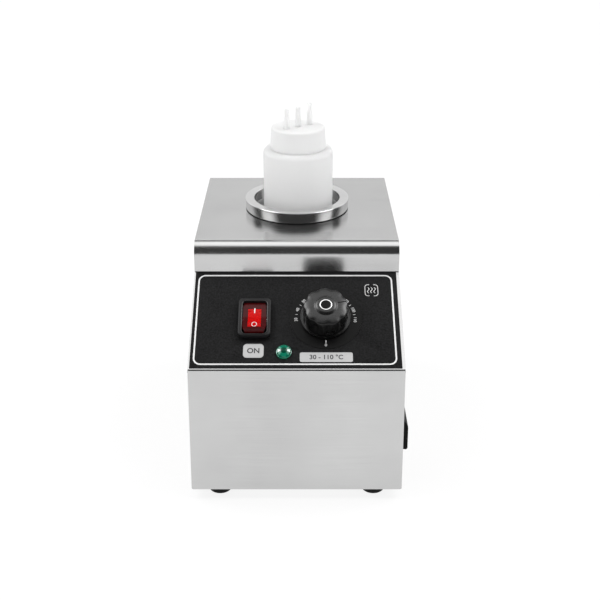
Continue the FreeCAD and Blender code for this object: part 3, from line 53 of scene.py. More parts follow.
# Places read from the frame
joints = {joint["name"]: joint for joint in frame["joints"]}
shell_low, shell_high = (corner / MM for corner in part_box("body_shell"))
cover_low, cover_high = (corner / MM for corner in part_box("top_cover"))
ring_low, ring_high = (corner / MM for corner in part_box("well_ring"))
bottle_low, bottle_high = (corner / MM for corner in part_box("bottle"))

# Sizes shared by several pieces, in millimetres and degrees
PANEL_LONG = 97.5
INK = 0.03
DIAL_RIGHT, DIAL_ALONG = 23.2, 48.8
SWITCH_RIGHT, SWITCH_ALONG = -33.7, 46.4
LAMP_RIGHT, LAMP_ALONG = -10.0, 16.6
POINTER_TURN = 15.0
FLUTE_COUNT = 9
ROCKER_TILT, ROCKER_SLOPE = 11.0, 0.0784
POT_INSIDE, POT_OUTSIDE = 37.3, 38.3
BOTTLE_WALL, NECK_REACH, NECK_INSIDE = 1.6, 21.4, 19.8
BOX_RIGHT = (shell_low.x + shell_high.x) / 2
WELL_BACK = (ring_low.y + ring_high.y) / 2
ROOF = cover_high.z
POT_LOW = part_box("well_pot")[0].z / MM
BOTTLE_RIGHT = (bottle_low.x + bottle_high.x) / 2


# Frames of reference

def panel_matrix():
    """X to the right, Y up the slope, Z out of the panel; the origin is its lower edge."""
    turn = joints["knob_turn"]
    outward = Vector(turn["axis"]).normalized()
    across = Vector((1, 0, 0))
    upward = outward.cross(across)
    origin = Vector(turn["pos_m"]) - MM * (DIAL_RIGHT * across + DIAL_ALONG * upward)
    rows = [list(row) for row in zip(across, upward, outward, origin)]
    return Matrix(rows + [[0, 0, 0, 1]])


PANEL = panel_matrix()


def on_panel(right, along, lift=0.0, turn=0.0, tilt=0.0):
    """Place of a piece on the panel, turned about the panel's normal, then tilted about X."""
    return (PANEL @ Matrix.Translation(MM * Vector((right, along, lift)))
            @ Matrix.Rotation(math.radians(turn), 4, "Z")
            @ Matrix.Rotation(math.radians(tilt), 4, "X") @ IN_MM)


def at(right, back, up):
    """Place of an upright piece."""
    return Matrix.Translation(MM * Vector((right, back, up))) @ IN_MM


WELL = at(BOX_RIGHT, WELL_BACK, 0)
BOTTLE = at(BOTTLE_RIGHT, WELL_BACK, 0)


# Shapes

def soften(corners, closed=True, step=12.0):
    """An outline of corners (x, y) or (x, y, radius), with arcs where a radius is given."""
    points = []
    count = len(corners)
    for i, corner in enumerate(corners):
        radius = corner[2] if len(corner) > 2 else 0
        here = Vector(corner[:2])
        if not radius or (not closed and i in (0, count - 1)):
            points.append(tuple(here))
            continue
        before = (Vector(corners[i - 1][:2]) - here).normalized()
        after = (Vector(corners[(i + 1) % count][:2]) - here).normalized()
        half = before.angle(after) / 2
        if half > math.pi / 2 - 1e-4:
            points.append(tuple(here))
            continue
        centre = here + (before + after).normalized() * radius / math.sin(half)
        first = here + before * radius / math.tan(half) - centre
        last = here + after * radius / math.tan(half) - centre
        sweep = first.angle_signed(last)
        parts = max(2, int(abs(math.degrees(sweep)) / step))
        for k in range(parts + 1):
            turned = Matrix.Rotation(-sweep * k / parts, 2) @ first
            points.append(tuple(centre + turned))
    return points


def disc_outline(radius, across=0.0, up=0.0):
    count = 64
    return [(across + radius * math.cos(2 * math.pi * i / count),
             up + radius * math.sin(2 * math.pi * i / count)) for i in range(count)]


def oval(across, up):
    return [(x * across, y * up) for x, y in disc_outline(1.0)]


def box_outline(wide, long, across=0.0, up=0.0, radius=0.0):
    corners = [(-1, -1), (1, -1), (1, 1), (-1, 1)]
    return soften([(across + x * wide / 2, up + y * long / 2, radius) for x, y in corners])


def piece(name, mesh, material, body, replaces=(), smooth=35.0):
    """Link a finished mesh as a piece of the object."""
    mesh.materials.clear()
    mesh.materials.append(material)
    mesh.shade_smooth()
    mesh.set_sharp_from_angle(angle=math.radians(smooth))
    made = bpy.data.objects.new(name, mesh)
    bpy.context.scene.collection.objects.link(made)
    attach(made, body)
    if replaces:
        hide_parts(*replaces)
    return made


def lathe_mesh(name, section, place, steps=128, closed=False, radial=None):
    """Turn a section of (radius, height) about Z; radial may vary the radius with the angle."""
    shape = bmesh.new()
    rows = []
    for radius, height in section:
        if radius < 1e-6:
            rows.append([shape.verts.new((0, 0, height))])
            continue
        row = []
        for i in range(steps):
            angle = 2 * math.pi * i / steps
            reach = radius if radial is None else radial(angle, radius, height)
            row.append(shape.verts.new((reach * math.cos(angle), reach * math.sin(angle), height)))
        rows.append(row)
    pairs = list(zip(rows, rows[1:])) + ([(rows[-1], rows[0])] if closed else [])
    for low, high in pairs:
        for i in range(steps):
            k = (i + 1) % steps
            if len(low) == 1 and len(high) == 1:
                break
            if len(low) == 1:
                shape.faces.new((low[0], high[k], high[i]))
            elif len(high) == 1:
                shape.faces.new((low[i], low[k], high[0]))
            else:
                shape.faces.new((low[i], low[k], high[k], high[i]))
    return closed_mesh(name, shape, place)


def rod_mesh(name, radius, low, high, place, steps):
    """A plain cylinder, used to cut holes."""
    return lathe_mesh(name, [(0, low), (radius, low), (radius, high), (0, high)], place, steps)


def closed_mesh(name, shape, place):
    """Weld a shape, turn its faces outward and make a mesh of it at its place."""
    bmesh.ops.remove_doubles(shape, verts=shape.verts, dist=1e-4)
    bmesh.ops.recalc_face_normals(shape, faces=shape.faces)
    mesh = bpy.data.meshes.new(name)
    shape.to_mesh(mesh)
    shape.free()
    mesh.transform(place)
    return mesh


def baked(holder):
    """Link a helper object, keep its finished mesh and remove the helper."""
    bpy.context.scene.collection.objects.link(holder)
    mesh = bpy.data.meshes.new_from_object(
        holder.evaluated_get(bpy.context.evaluated_depsgraph_get()))
    bpy.data.objects.remove(holder)
    return mesh


def slab_mesh(name, outlines, low, high, place, edge=0.15):
    """A flat plate between two heights with rounded edges; the first outline is the outside."""
    curve = bpy.data.curves.new(name, "CURVE")
    curve.dimensions = "2D"
    curve.fill_mode = "BOTH"
    for outline in outlines:
        spline = curve.splines.new("POLY")
        spline.points.add(len(outline) - 1)
        for point, (x, y) in zip(spline.points, outline):
            point.co = (x, y, 0, 1)
        spline.use_cyclic_u = True
    curve.extrude = (high - low) / 2 - edge
    curve.bevel_depth = edge
    curve.bevel_resolution = 1
    curve.offset = -edge
    mesh = baked(bpy.data.objects.new(name + "_curve", curve))
    shape = bmesh.new()
    shape.from_mesh(mesh)
    bpy.data.meshes.remove(mesh)
    bmesh.ops.translate(shape, verts=shape.verts, vec=(0, 0, (low + high) / 2))
    return closed_mesh(name, shape, place)


def text_mesh(name, words, size, place, bold=0.0):
    """Printed words: a thin raised layer, centred on its place."""
    curve = bpy.data.curves.new(name, "FONT")
    curve.body = words
    curve.size = size
    curve.align_x = "CENTER"
    curve.align_y = "CENTER"
    curve.extrude = 0.02
    curve.offset = bold
    curve.resolution_u = 4
    mesh = baked(bpy.data.objects.new(name + "_text", curve))
    mesh.transform(place)
    return mesh


def joined(name, *meshes):
    """One mesh of several."""
    shape = bmesh.new()
    for mesh in meshes:
        shape.from_mesh(mesh)
        bpy.data.meshes.remove(mesh)
    whole = bpy.data.meshes.new(name)
    shape.to_mesh(whole)
    shape.free()
    return whole


def prism_mesh(name, outline, wide, place, edge=0.0, reach=None):
    """An outline in the Y-Z plane, drawn out along X; reach(y) may vary its half width."""
    shape = bmesh.new()
    half = reach or (lambda y: wide / 2)
    left = [shape.verts.new((-half(y), y, z)) for y, z in outline]
    right = [shape.verts.new((half(y), y, z)) for y, z in outline]
    caps = [shape.faces.new(left), shape.faces.new(right)]
    count = len(outline)
    for i in range(count):
        k = (i + 1) % count
        shape.faces.new((left[i], left[k], right[k], right[i]))
    if edge:
        rims = {side for cap in caps for side in cap.edges}
        bmesh.ops.bevel(shape, geom=list(rims), offset=edge, segments=3, affect="EDGES",
                        profile=0.5, clamp_overlap=True)
    return closed_mesh(name, shape, place)


def solids_of(node, turn):
    """Lowest and highest corner of each loose solid of a node, in a turned frame."""
    shape = bmesh.new()
    shape.from_mesh(frame["nodes"][node].data)
    shape.transform(turn.inverted())
    bmesh.ops.remove_doubles(shape, verts=shape.verts, dist=1e-6)
    boxes, seen = [], set()
    for start in shape.verts:
        if start in seen:
            continue
        seen.add(start)
        rest, reached = [start], []
        while rest:
            vert = rest.pop()
            reached.append(vert.co / MM)
            for side in vert.link_edges:
                other = side.other_vert(vert)
                if other not in seen:
                    seen.add(other)
                    rest.append(other)
        boxes.append(tuple(Vector([pick(point[i] for point in reached) for i in range(3)])
                           for pick in (min, max)))
    shape.free()
    return boxes


def carved(mesh, *cutters):
    """Take cutter meshes out of a mesh."""
    for cutter in cutters:
        tool = bpy.data.objects.new("carve_tool", cutter)
        bpy.context.scene.collection.objects.link(tool)
        target = bpy.data.objects.new("carve_target", mesh)
        cut = target.modifiers.new("cut", "BOOLEAN")
        cut.operation = "DIFFERENCE"
        cut.solver = "EXACT"
        cut.object = tool
        whole = baked(target)
        bpy.data.objects.remove(tool)
        bpy.data.meshes.remove(mesh)
        bpy.data.meshes.remove(cutter)
        mesh = whole
    return mesh


# Geometry Nodes: screws and the bottle's thread

def tree_of(name, *sockets):
    """A node group with a geometry in and out and named number inputs."""
    group = bpy.data.node_groups.new(name, "GeometryNodeTree")
    group.interface.new_socket("Geometry", in_out="INPUT", socket_type="NodeSocketGeometry")
    group.interface.new_socket("Geometry", in_out="OUTPUT", socket_type="NodeSocketGeometry")
    for label in sockets:
        group.interface.new_socket(label, in_out="INPUT", socket_type="NodeSocketFloat")
    group.interface.new_socket("Finish", in_out="INPUT", socket_type="NodeSocketMaterial")
    return group, group.nodes.new("NodeGroupInput"), group.nodes.new("NodeGroupOutput")


def grown(name, carrier, group, place, **inputs):
    """Run a node group over a carrier mesh and keep the result as a plain mesh."""
    holder = bpy.data.objects.new(name + "_seed", carrier)
    modifier = holder.modifiers.new("grow", "NODES")
    modifier.node_group = group
    for item in group.interface.items_tree:
        key = item.name.replace(" ", "_").lower()
        if item.in_out == "INPUT" and key in inputs:
            modifier[item.identifier] = inputs[key]
    mesh = baked(holder)
    mesh.transform(place)
    return mesh


def send_out(group, given, result, geometry):
    """Make the geometry real, give it its finish and send it out of the group."""
    real = add(group, "GeometryNodeRealizeInstances", {"Geometry": geometry})
    dressed = add(group, "GeometryNodeSetMaterial", {
        "Geometry": real.outputs["Geometry"], "Material": given.outputs["Finish"]})
    group.links.new(dressed.outputs["Geometry"], result.inputs["Geometry"])
    return group


def screw_group():
    """Pan-head screws with a cross recess, one on each point, heads along the point's Z."""
    group, given, result = tree_of("pan_head_screws", "Head Radius", "Head Height",
                                   "Shank Radius", "Shank Length")

    def times(value, factor):
        return sums(group, "MULTIPLY", value, factor)

    def spot(x=0.0, y=0.0, z=0.0):
        return add(group, "ShaderNodeCombineXYZ", {0: x, 1: y, 2: z}).outputs[0]
    wide, tall = given.outputs["Head Radius"], given.outputs["Head Height"]
    long = given.outputs["Shank Length"]
    head = add(group, "GeometryNodeMeshCone", {
        "Vertices": 40, "Radius Top": times(wide, 0.72), "Radius Bottom": wide, "Depth": tall})
    bars = [add(group, "GeometryNodeMeshCube", {"Size": spot(x, y, tall)}).outputs["Mesh"]
            for x, y in ((times(wide, 1.05), times(wide, 0.2)),
                         (times(wide, 0.2), times(wide, 1.05)))]
    crossed = add(group, "GeometryNodeMeshBoolean", operation="UNION", solver="EXACT")
    for bar in bars:
        group.links.new(bar, crossed.inputs["Mesh 2"])
    raised = add(group, "GeometryNodeTransform", {
        "Geometry": crossed.outputs["Mesh"], "Translation": spot(z=times(tall, 0.9))})
    recessed = add(group, "GeometryNodeMeshBoolean", {
        "Mesh 1": head.outputs["Mesh"]}, operation="DIFFERENCE", solver="EXACT")
    group.links.new(raised.outputs["Geometry"], recessed.inputs["Mesh 2"])
    shank = add(group, "GeometryNodeMeshCylinder", {
        "Vertices": 24, "Radius": given.outputs["Shank Radius"], "Depth": long})
    sunk = add(group, "GeometryNodeTransform", {
        "Geometry": shank.outputs["Mesh"], "Translation": spot(z=times(long, -0.5))})
    screw = add(group, "GeometryNodeJoinGeometry", {"Geometry": sunk.outputs["Geometry"]})
    group.links.new(recessed.outputs["Mesh"], screw.inputs["Geometry"])
    each = add(group, "GeometryNodeInstanceOnPoints", {
        "Points": given.outputs["Geometry"], "Instance": screw.outputs["Geometry"]})
    return send_out(group, given, result, each.outputs["Instances"])


def thread_group():
    """A rounded ridge that climbs a neck."""
    group, given, result = tree_of("neck_thread", "Radius", "Rise", "Turns", "Ridge")
    spiral = add(group, "GeometryNodeCurveSpiral", {
        "Resolution": 64, "Rotations": given.outputs["Turns"],
        "Start Radius": given.outputs["Radius"], "End Radius": given.outputs["Radius"],
        "Height": given.outputs["Rise"]})
    ridge = add(group, "GeometryNodeCurvePrimitiveCircle", {
        "Resolution": 8, "Radius": given.outputs["Ridge"]})
    swept = add(group, "GeometryNodeCurveToMesh", {
        "Curve": spiral.outputs["Curve"], "Profile Curve": ridge.outputs["Curve"],
        "Fill Caps": True})
    return send_out(group, given, result, swept.outputs["Mesh"])


# Materials

def add(tree, kind, feeds=None, **settings):
    """Add a node, set its properties and feed its inputs with values or other outputs."""
    made = tree.nodes.new(kind)
    for key, value in settings.items():
        setattr(made, key, value)
    for key, value in (feeds or {}).items():
        if isinstance(value, bpy.types.NodeSocket):
            tree.links.new(value, made.inputs[key])
        else:
            made.inputs[key].default_value = value
    return made


def sums(tree, kind, one, two=0.0):
    """The result of a sum of the given kind on one or two values or outputs."""
    return add(tree, "ShaderNodeMath", {0: one, 1: two}, operation=kind).outputs[0]


def finish_of(name, **values):
    """A material with one Principled shader; values set its sockets."""
    material = bpy.data.materials.new(name)
    material.use_nodes = True
    tree = material.node_tree
    shader = tree.nodes["Principled BSDF"]
    for key, value in values.items():
        shader.inputs[key.replace("_", " ")].default_value = value
    return material, tree, shader


def place_of(tree, scale=(1, 1, 1)):
    """Object coordinates, multiplied by a scale, as a vector output."""
    coords = add(tree, "ShaderNodeTexCoord")
    return add(tree, "ShaderNodeMapping",
               {"Vector": coords.outputs["Object"], "Scale": scale}).outputs["Vector"]


def noise(tree, vector, scale, detail=2.0, rough=0.5):
    return add(tree, "ShaderNodeTexNoise", {"Vector": vector, "Scale": scale, "Detail": detail,
                                            "Roughness": rough}).outputs["Fac"]


def spread(tree, value, low, high, from_low=0.3, from_high=0.7):
    """Map a texture value onto a range."""
    return add(tree, "ShaderNodeMapRange", {"Value": value, "From Min": from_low,
               "From Max": from_high, "To Min": low, "To Max": high}).outputs["Result"]


def grey(tree, value):
    return add(tree, "ShaderNodeCombineColor", {0: value, 1: value, 2: value}).outputs["Color"]


def tint(tree, value, dark, light):
    """A colour between two, by a value from 0 to 1; a single number stands for a grey."""
    ends = [(*tone, 1) if isinstance(tone, tuple) else (tone, tone, tone, 1)
            for tone in (dark, light)]
    return add(tree, "ShaderNodeMix", {"Factor": value, "A": ends[0], "B": ends[1]},
               data_type="RGBA").outputs["Result"]


def dent(tree, shader, height, strength, distance):
    """Raise and lower a surface by a texture value."""
    bump = add(tree, "ShaderNodeBump",
               {"Height": height, "Strength": strength, "Distance": distance})
    tree.links.new(bump.outputs["Normal"], shader.inputs["Normal"])


def brushed_steel(name, tone, rough, lines, depth):
    """Sheet steel with a straight grain: along X on front and roof, along Y on the sides."""
    material, tree, shader = finish_of(name, Metallic=1.0, Anisotropic=0.55)
    coords = add(tree, "ShaderNodeTexCoord")
    facing = add(tree, "ShaderNodeSeparateXYZ", {"Vector": coords.outputs["Normal"]})
    is_side = sums(tree, "GREATER_THAN", sums(tree, "ABSOLUTE", facing.outputs["X"]), 0.75)

    def by_side(front, side):
        return add(tree, "ShaderNodeMix", {"Factor": is_side, 4: front, 5: side},
                   data_type="VECTOR").outputs[1]
    streak = 14    # grains a metre along the brushing
    grain = noise(tree, by_side(place_of(tree, (streak, lines, lines)),
                                place_of(tree, (lines, streak, lines))), 1.0, 3.0, 0.6)
    broad = noise(tree, place_of(tree), 11.0, 3.0)
    smear = noise(tree, place_of(tree, (6, 60, 60)), 1.0, 2.0)
    level = sums(tree, "ADD", spread(tree, broad, -0.035, 0.035),
                 spread(tree, grain, -0.015, 0.015))
    tree.links.new(grey(tree, sums(tree, "ADD", level, tone)), shader.inputs["Base Color"])
    tree.links.new(spread(tree, smear, rough - 0.03, rough + 0.04), shader.inputs["Roughness"])
    shader.inputs["Anisotropic Rotation"].default_value = 0.25
    tree.links.new(by_side((1.0, 0.0, 0.0), (0.0, 1.0, 0.0)), shader.inputs["Tangent"])
    dent(tree, shader, grain, depth, 0.00004)
    return material


def turned_steel(name, centre, tone, rough=0.07, depth=0.2):
    """Turned and polished steel with faint rings about an upright axis."""
    material, tree, shader = finish_of(name, Metallic=1.0)
    coords = add(tree, "ShaderNodeTexCoord")
    shifted = add(tree, "ShaderNodeVectorMath", {0: coords.outputs["Object"], 1: centre},
                  operation="SUBTRACT")
    flat = add(tree, "ShaderNodeVectorMath", {0: shifted.outputs[0], 1: (1, 1, 0)},
               operation="MULTIPLY")
    reach = add(tree, "ShaderNodeVectorMath", {0: flat.outputs[0]}, operation="LENGTH")
    height = add(tree, "ShaderNodeSeparateXYZ", {"Vector": shifted.outputs[0]})
    rings = add(tree, "ShaderNodeCombineXYZ", {"X": reach.outputs["Value"],
                                               "Z": height.outputs["Z"]})
    lines = noise(tree, rings.outputs[0], 2600.0, 2.0)
    cloud = noise(tree, place_of(tree), 60.0, 3.0)
    tree.links.new(grey(tree, spread(tree, cloud, tone - 0.03, tone + 0.03)),
                   shader.inputs["Base Color"])
    tree.links.new(spread(tree, lines, rough, rough + 0.06), shader.inputs["Roughness"])
    dent(tree, shader, lines, depth, 0.00002)
    return material


def plain_metal(name, dark, light, rough=0.35):
    """Plated or drawn metal with small clouds in tone and gloss."""
    material, tree, shader = finish_of(name, Metallic=1.0)
    cloud = noise(tree, place_of(tree), 180.0, 4.0)
    fine = noise(tree, place_of(tree), 900.0, 2.0)
    tree.links.new(tint(tree, spread(tree, cloud, 0, 1), dark, light), shader.inputs["Base Color"])
    tree.links.new(spread(tree, cloud, rough - 0.06, rough + 0.08), shader.inputs["Roughness"])
    dent(tree, shader, fine, 0.3, 0.00003)
    return material


def moulding(name, dark, light, rough, speck, depth, gloss=0.5, grain_size=0.00004, **more):
    """Moulded plastic, rubber or film: fine grain, faint clouds, matt or glossy."""
    material, tree, shader = finish_of(name, Specular_IOR_Level=gloss, **more)
    fine = noise(tree, place_of(tree), speck, 2.0, 0.6)
    cloud = noise(tree, place_of(tree), 45.0, 3.0)
    mixed = sums(tree, "ADD", spread(tree, fine, 0, 0.75), spread(tree, cloud, 0, 0.25))
    tree.links.new(tint(tree, mixed, dark, light), shader.inputs["Base Color"])
    tree.links.new(spread(tree, cloud, rough - 0.04, rough + 0.05), shader.inputs["Roughness"])
    dent(tree, shader, fine, depth, grain_size)
    return material


def milky(name, tone):
    """Thin translucent polythene: scatters light, soft sheen, faint flow clouds, and a faint
    painted white glow that brightens it.
    """
    # painted light: the faint white emission makes the bottle glow a little brighter
    material, tree, shader = finish_of(
        name, Subsurface_Weight=0.5, Subsurface_Scale=0.012, Roughness=0.45,
        Specular_IOR_Level=0.5, IOR=1.15, Transmission_Weight=0.4,
        Emission_Color=(1, 1, 1, 1), Emission_Strength=0.03)
    shader.inputs["Subsurface Radius"].default_value = (1.0, 1.0, 1.0)
    cloud = noise(tree, place_of(tree, (1, 1, 0.4)), 40.0, 3.0)
    tree.links.new(tint(tree, spread(tree, cloud, 0, 1), tone - 0.02, tone),
                   shader.inputs["Base Color"])
    dent(tree, shader, cloud, 0.15, 0.0003)
    return material


well_axis = MM * Vector((BOX_RIGHT, WELL_BACK, 0))

# Steel: tone, roughness, grains a metre, depth of the grain
steel = brushed_steel("steel_brushed", 0.565, 0.19, 1900.0, 0.12)
inner_steel = brushed_steel("steel_rolled", 0.5, 0.36, 1200.0, 0.3)
ring_steel = turned_steel("steel_turned", well_axis, 0.7)
pot_steel = turned_steel("steel_drawn", well_axis, 0.66, 0.42, 0.3)

# Plain metals: dark and light tone, roughness
zinc = plain_metal("zinc_plating", (0.55, 0.56, 0.57), (0.72, 0.73, 0.74))
brass = plain_metal("brass_plain", (0.62, 0.45, 0.2), (0.75, 0.58, 0.3))
copper = plain_metal("copper_drawn", (0.55, 0.28, 0.17), (0.72, 0.4, 0.26))
bright_metal = plain_metal("badge_bright", 0.72, 0.85, 0.2)

# Plastic, rubber, film and ink: dark and light tone, roughness, grains a metre, depth of the
# grain, gloss
film = moulding("panel_film", 0.001, (0.014, 0.014, 0.0145), 0.55, 750.0, 0.5, 0.08)
dial_film = moulding("dial_film", 0.003, 0.005, 0.35, 900.0, 0.1, 0.1)
knob_black = moulding("knob_black", 0.004, 0.007, 0.27, 2600.0, 0.3, 0.5)
case_black = moulding("case_black", (0.006, 0.006, 0.0065), (0.012, 0.012, 0.0125), 0.45, 2200.0,
                      0.35, 0.2)
inlet_black = moulding("inlet_black", 0.003, 0.008, 0.6, 1800.0, 0.3, 0.1)
# painted highlight: a lighter copy of the black case plastic, for the light line around the switch
# opening
lip_black = moulding("lip_black", 0.012, 0.02, 0.3, 2200.0, 0.2, 0.6)
rubber = moulding("foot_rubber", 0.003, 0.008, 0.6, 1800.0, 0.4, 0.12)
plate_ink = moulding("ink_plate", 0.35, 0.42, 0.5, 2600.0, 0.1)
white_ink = moulding("ink_white", 0.6, 0.68, 0.45, 2600.0, 0.1)
black_ink = moulding("ink_black", 0.01, 0.02, 0.45, 2600.0, 0.1)
plastic_milky = milky("polythene_milky", 0.93)
phenolic = moulding("phenolic_brown", (0.1, 0.05, 0.03), (0.16, 0.09, 0.05), 0.4, 2000.0, 0.3)
nylon = moulding("nylon_white", (0.66, 0.66, 0.64), (0.76, 0.76, 0.74), 0.4, 2000.0, 0.2)
fibre = moulding("fibre_white", (0.6, 0.58, 0.52), (0.82, 0.8, 0.74), 0.9, 500.0, 1.0, 0.2,
                 grain_size=0.0008)
seal_soft = moulding("seal_soft", (0.7, 0.7, 0.68), (0.78, 0.78, 0.76), 0.5, 1500.0, 0.2)
rocker_red = moulding("rocker_red", (0.035, 0.001, 0.002), (0.055, 0.002, 0.002), 0.22, 600.0,
                      0.02, 0.16)
# painted light: the window's bright red stands in for the glow of the lamp inside the rocker
window_red = moulding("window_red", (0.3, 0.001, 0.001), (0.58, 0.002, 0.002), 0.25, 900.0,
                      0.02, 0.08)
lens_green = moulding("lens_green", (0.0, 0.1, 0.055), (0.0, 0.2, 0.115), 0.05, 500.0, 0.02, 1.0,
                      Coat_Weight=1.0, Coat_Roughness=0.02, Coat_IOR=1.7)
# painted shade: a darker copy of the lens green, for the lens's dark centre
lens_deep = moulding("lens_deep", (0.0, 0.03, 0.017), (0.0, 0.06, 0.034), 0.1, 700.0, 0.02, 0.12)


# Nodes that keep their own shape

def dress(material, *names):
    for name in names:
        mesh = frame["nodes"][name].data
        mesh.materials.clear()
        mesh.materials.append(material)


dress(steel, "body_shell", "control_panel", "back_panel")
dress(inner_steel, "base_plate", "cutout_strap", "bulb_clip")
dress(zinc, "foot_nuts", "ring_studs", "ring_nuts", "cutout_studs", "cutout_nuts",
      "heater_clamp_screw", "heater_band", "terminal_screws", "thermostat_shaft", "rocker_pin")
dress(brass, "inlet_pins", "switch_terminals", "earth_stud", "earth_nut")
dress(copper, "capillary_tube", "thermostat_bulb")
dress(dial_film, "dial_plate")
dress(case_black, "thermostat_case", "lamp_barrel", "lamp_nut_ring")
dress(fibre, "insulation_blanket")
dress(phenolic, "thermal_cutout")
dress(nylon, "terminal_block")
dress(seal_soft, "cap_seal")


# Steel pieces

def make_ring():
    """Polished collar around the mouth of the well, over a thin black ring that paints the shadow
    in the gap beneath it.
    """
    rest, over_flange, foot, top = ROOF + 0.1, ROOF + 1.1, ROOF + 0.8, ROOF + 10
    section = soften([
        (37.5, over_flange), (45.0, over_flange), (45.0, rest), (45.3, rest), (45.3, foot),
        (45.85, foot, 0.4), (46.35, top, 0.6), (38.3, top, 0.7)])
    mesh = lathe_mesh("ring_collar", section, WELL, 180, closed=True)
    piece("ring_collar", mesh, ring_steel, "housing", ["well_ring"])
    # painted shade: a thin black ring in the gap under the collar, dark as that gap's shadow
    inner, outer, low, high = 45.35, 45.9, ROOF + 0.02, ROOF + 0.78
    shadow_band = lathe_mesh("ring_gasket", soften([
        (inner, low), (outer, low), (outer, high, 0.2), (inner, high)]), WELL, 180, closed=True)
    piece("ring_gasket", shadow_band, rubber, "housing")


def make_pot():
    """Deep-drawn cup that holds the bottle."""
    flange, brim, floor = 44.8, ROOF + 1, POT_LOW + 1
    section = soften([
        (0, POT_LOW), (POT_OUTSIDE, POT_LOW, 3), (POT_OUTSIDE, ROOF), (flange, ROOF),
        (flange, brim), (POT_INSIDE, brim, 0.8), (POT_INSIDE, floor, 2), (0, floor)],
        closed=False)
    mesh = lathe_mesh("well_cup", section, WELL, 160)
    piece("well_cup", mesh, pot_steel, "housing", ["well_pot"])


def make_cover():
    """Roof sheet folded into a full round nose and a front band that closes on the panel."""
    sheet, nose, hole, smooth = 1, 11, 38.7, 10.0
    band, front, back = cover_low.y, cover_low.y - 2, cover_high.y
    ceiling, lip = ROOF - sheet, ROOF - 14
    outline = soften([
        (front, cover_low.z - 1.2), (band, cover_low.z), (band + sheet, cover_low.z),
        (band + sheet, ceiling, 8), (back - sheet, ceiling), (back - sheet, lip), (back, lip),
        (back, ROOF - 6), (back, ROOF, 2), (back - 9, ROOF), (front + 27, ROOF),
        (front + 17, ROOF, 150), (front, ROOF - 0.3, nose), (front, ROOF - 13)], step=4)
    mesh = prism_mesh("cover_folded", outline, cover_high.x - cover_low.x,
                      at(BOX_RIGHT, 0, 0), 0.25)
    mouth = rod_mesh("mouth", hole, ROOF - 5, ROOF + 5, WELL, 96)
    piece("cover_folded", carved(mesh, mouth), steel, "housing",
          ["top_cover"], smooth)


def make_front_hem():
    """Folded hem along the top of the front wall, closing on the sloped plate."""
    corner = PANEL.translation / MM
    proud, thick, end, bottom, top = 0.02, 0.5, 4.0, -2.7, -0.06
    half = (shell_high.x - shell_low.x) / 2 + proud
    inner, behind = half - thick, thick - proud
    plan = soften([(-half, end), (-half, -proud, 2.0), (half, -proud, 2.0), (half, end),
                   (inner, end), (inner, behind, 1.5), (-inner, behind, 1.5), (-inner, end)])
    mesh = slab_mesh("front_hem", [plan], bottom, top, at(BOX_RIGHT, corner.y, corner.z), 0.05)
    piece("front_hem", mesh, steel, "housing")


def make_feet():
    """Four rubber feet, each on its own screw."""
    recess, sole, waist, bore, seat, tall = 4.2, 9.0, 10.4, 2.2, 4, 9
    section = soften([(recess, 0), (sole, 0, 1.6), (waist, 5.6, 3), (waist, tall), (bore, tall),
                      (bore, seat), (recess, seat)])
    for name in ("front_left_foot", "front_right_foot", "rear_left_foot", "rear_right_foot"):
        low, high = (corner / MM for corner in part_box(name))
        place = at((low.x + high.x) / 2, (low.y + high.y) / 2, 0)
        mesh = lathe_mesh(name + "_turned", section, place, 64, closed=True)
        piece(name + "_turned", mesh, rubber, "housing", [name])


def make_screws():
    """Pan-head screws where the frame has them: rear panel, feet, inlet and thermostat."""
    group = screw_group()
    smooth = 25.0
    # where the heads point
    rightward = Matrix.Rotation(math.radians(90), 4, "Y")
    down = Matrix.Rotation(math.radians(180), 4, "X")
    rearward = Matrix.Rotation(math.radians(-90), 4, "X")
    slope = PANEL.to_3x3().to_4x4()
    for node, turn, radius, tall, shank in (
            ("back_screws", rearward, 3.0, 2.0, 1.5), ("foot_screws", down, 3.8, 2.0, 2.0),
            ("inlet_screws", rightward, 3.0, 2.0, 1.5),
            ("thermostat_screws", slope, 2.8, 1.6, 2.0)):
        boxes = solids_of(node, turn)
        carrier = bpy.data.meshes.new(node + "_spots")
        carrier.from_pydata([((low.x + high.x) / 2, (low.y + high.y) / 2, high.z - tall)
                             for low, high in boxes], [], [])
        long = boxes[0][1].z - tall - boxes[0][0].z
        mesh = grown(node, carrier, group, turn @ IN_MM, head_radius=radius, head_height=tall,
                     shank_radius=shank, shank_length=long, finish=zinc)
        piece(node + "_crossed", mesh, zinc, "housing", [node], smooth)


# Printed panel

def inked(name, outlines, right=0.0, along=0.0):
    """A thin raised layer printed on the panel sheet."""
    return slab_mesh(name, outlines, 0, 2 * INK, on_panel(right, along), 0.02)


def make_sheet():
    """Black printed sheet with holes for what passes through it, and below it a black strip that
    paints the shadow of the seam.
    """
    holes = [box_outline(22.8, 33.0, SWITCH_RIGHT, SWITCH_ALONG),
             disc_outline(5.1, LAMP_RIGHT, LAMP_ALONG), disc_outline(5.0, DIAL_RIGHT, DIAL_ALONG)]
    outside = box_outline(166.2, PANEL_LONG - 2.7, -0.6, PANEL_LONG / 2 + 1.15)
    sheet = slab_mesh("panel_film", [outside] + holes, -0.5, 0, on_panel(0, 0), 0.06)
    piece("panel_film", sheet, film, "housing", ["panel_overlay"])
    # painted shade: a black strip along the lower edge, where the plate's edge casts a dark line of
    # shadow
    seam_shadow = slab_mesh("panel_seam", [box_outline(169.2, 1.5, 0, 0.7)], -0.5, -0.3,
                     on_panel(0, 0), 0.03)
    piece("panel_seam", seam_shadow, rubber, "housing")


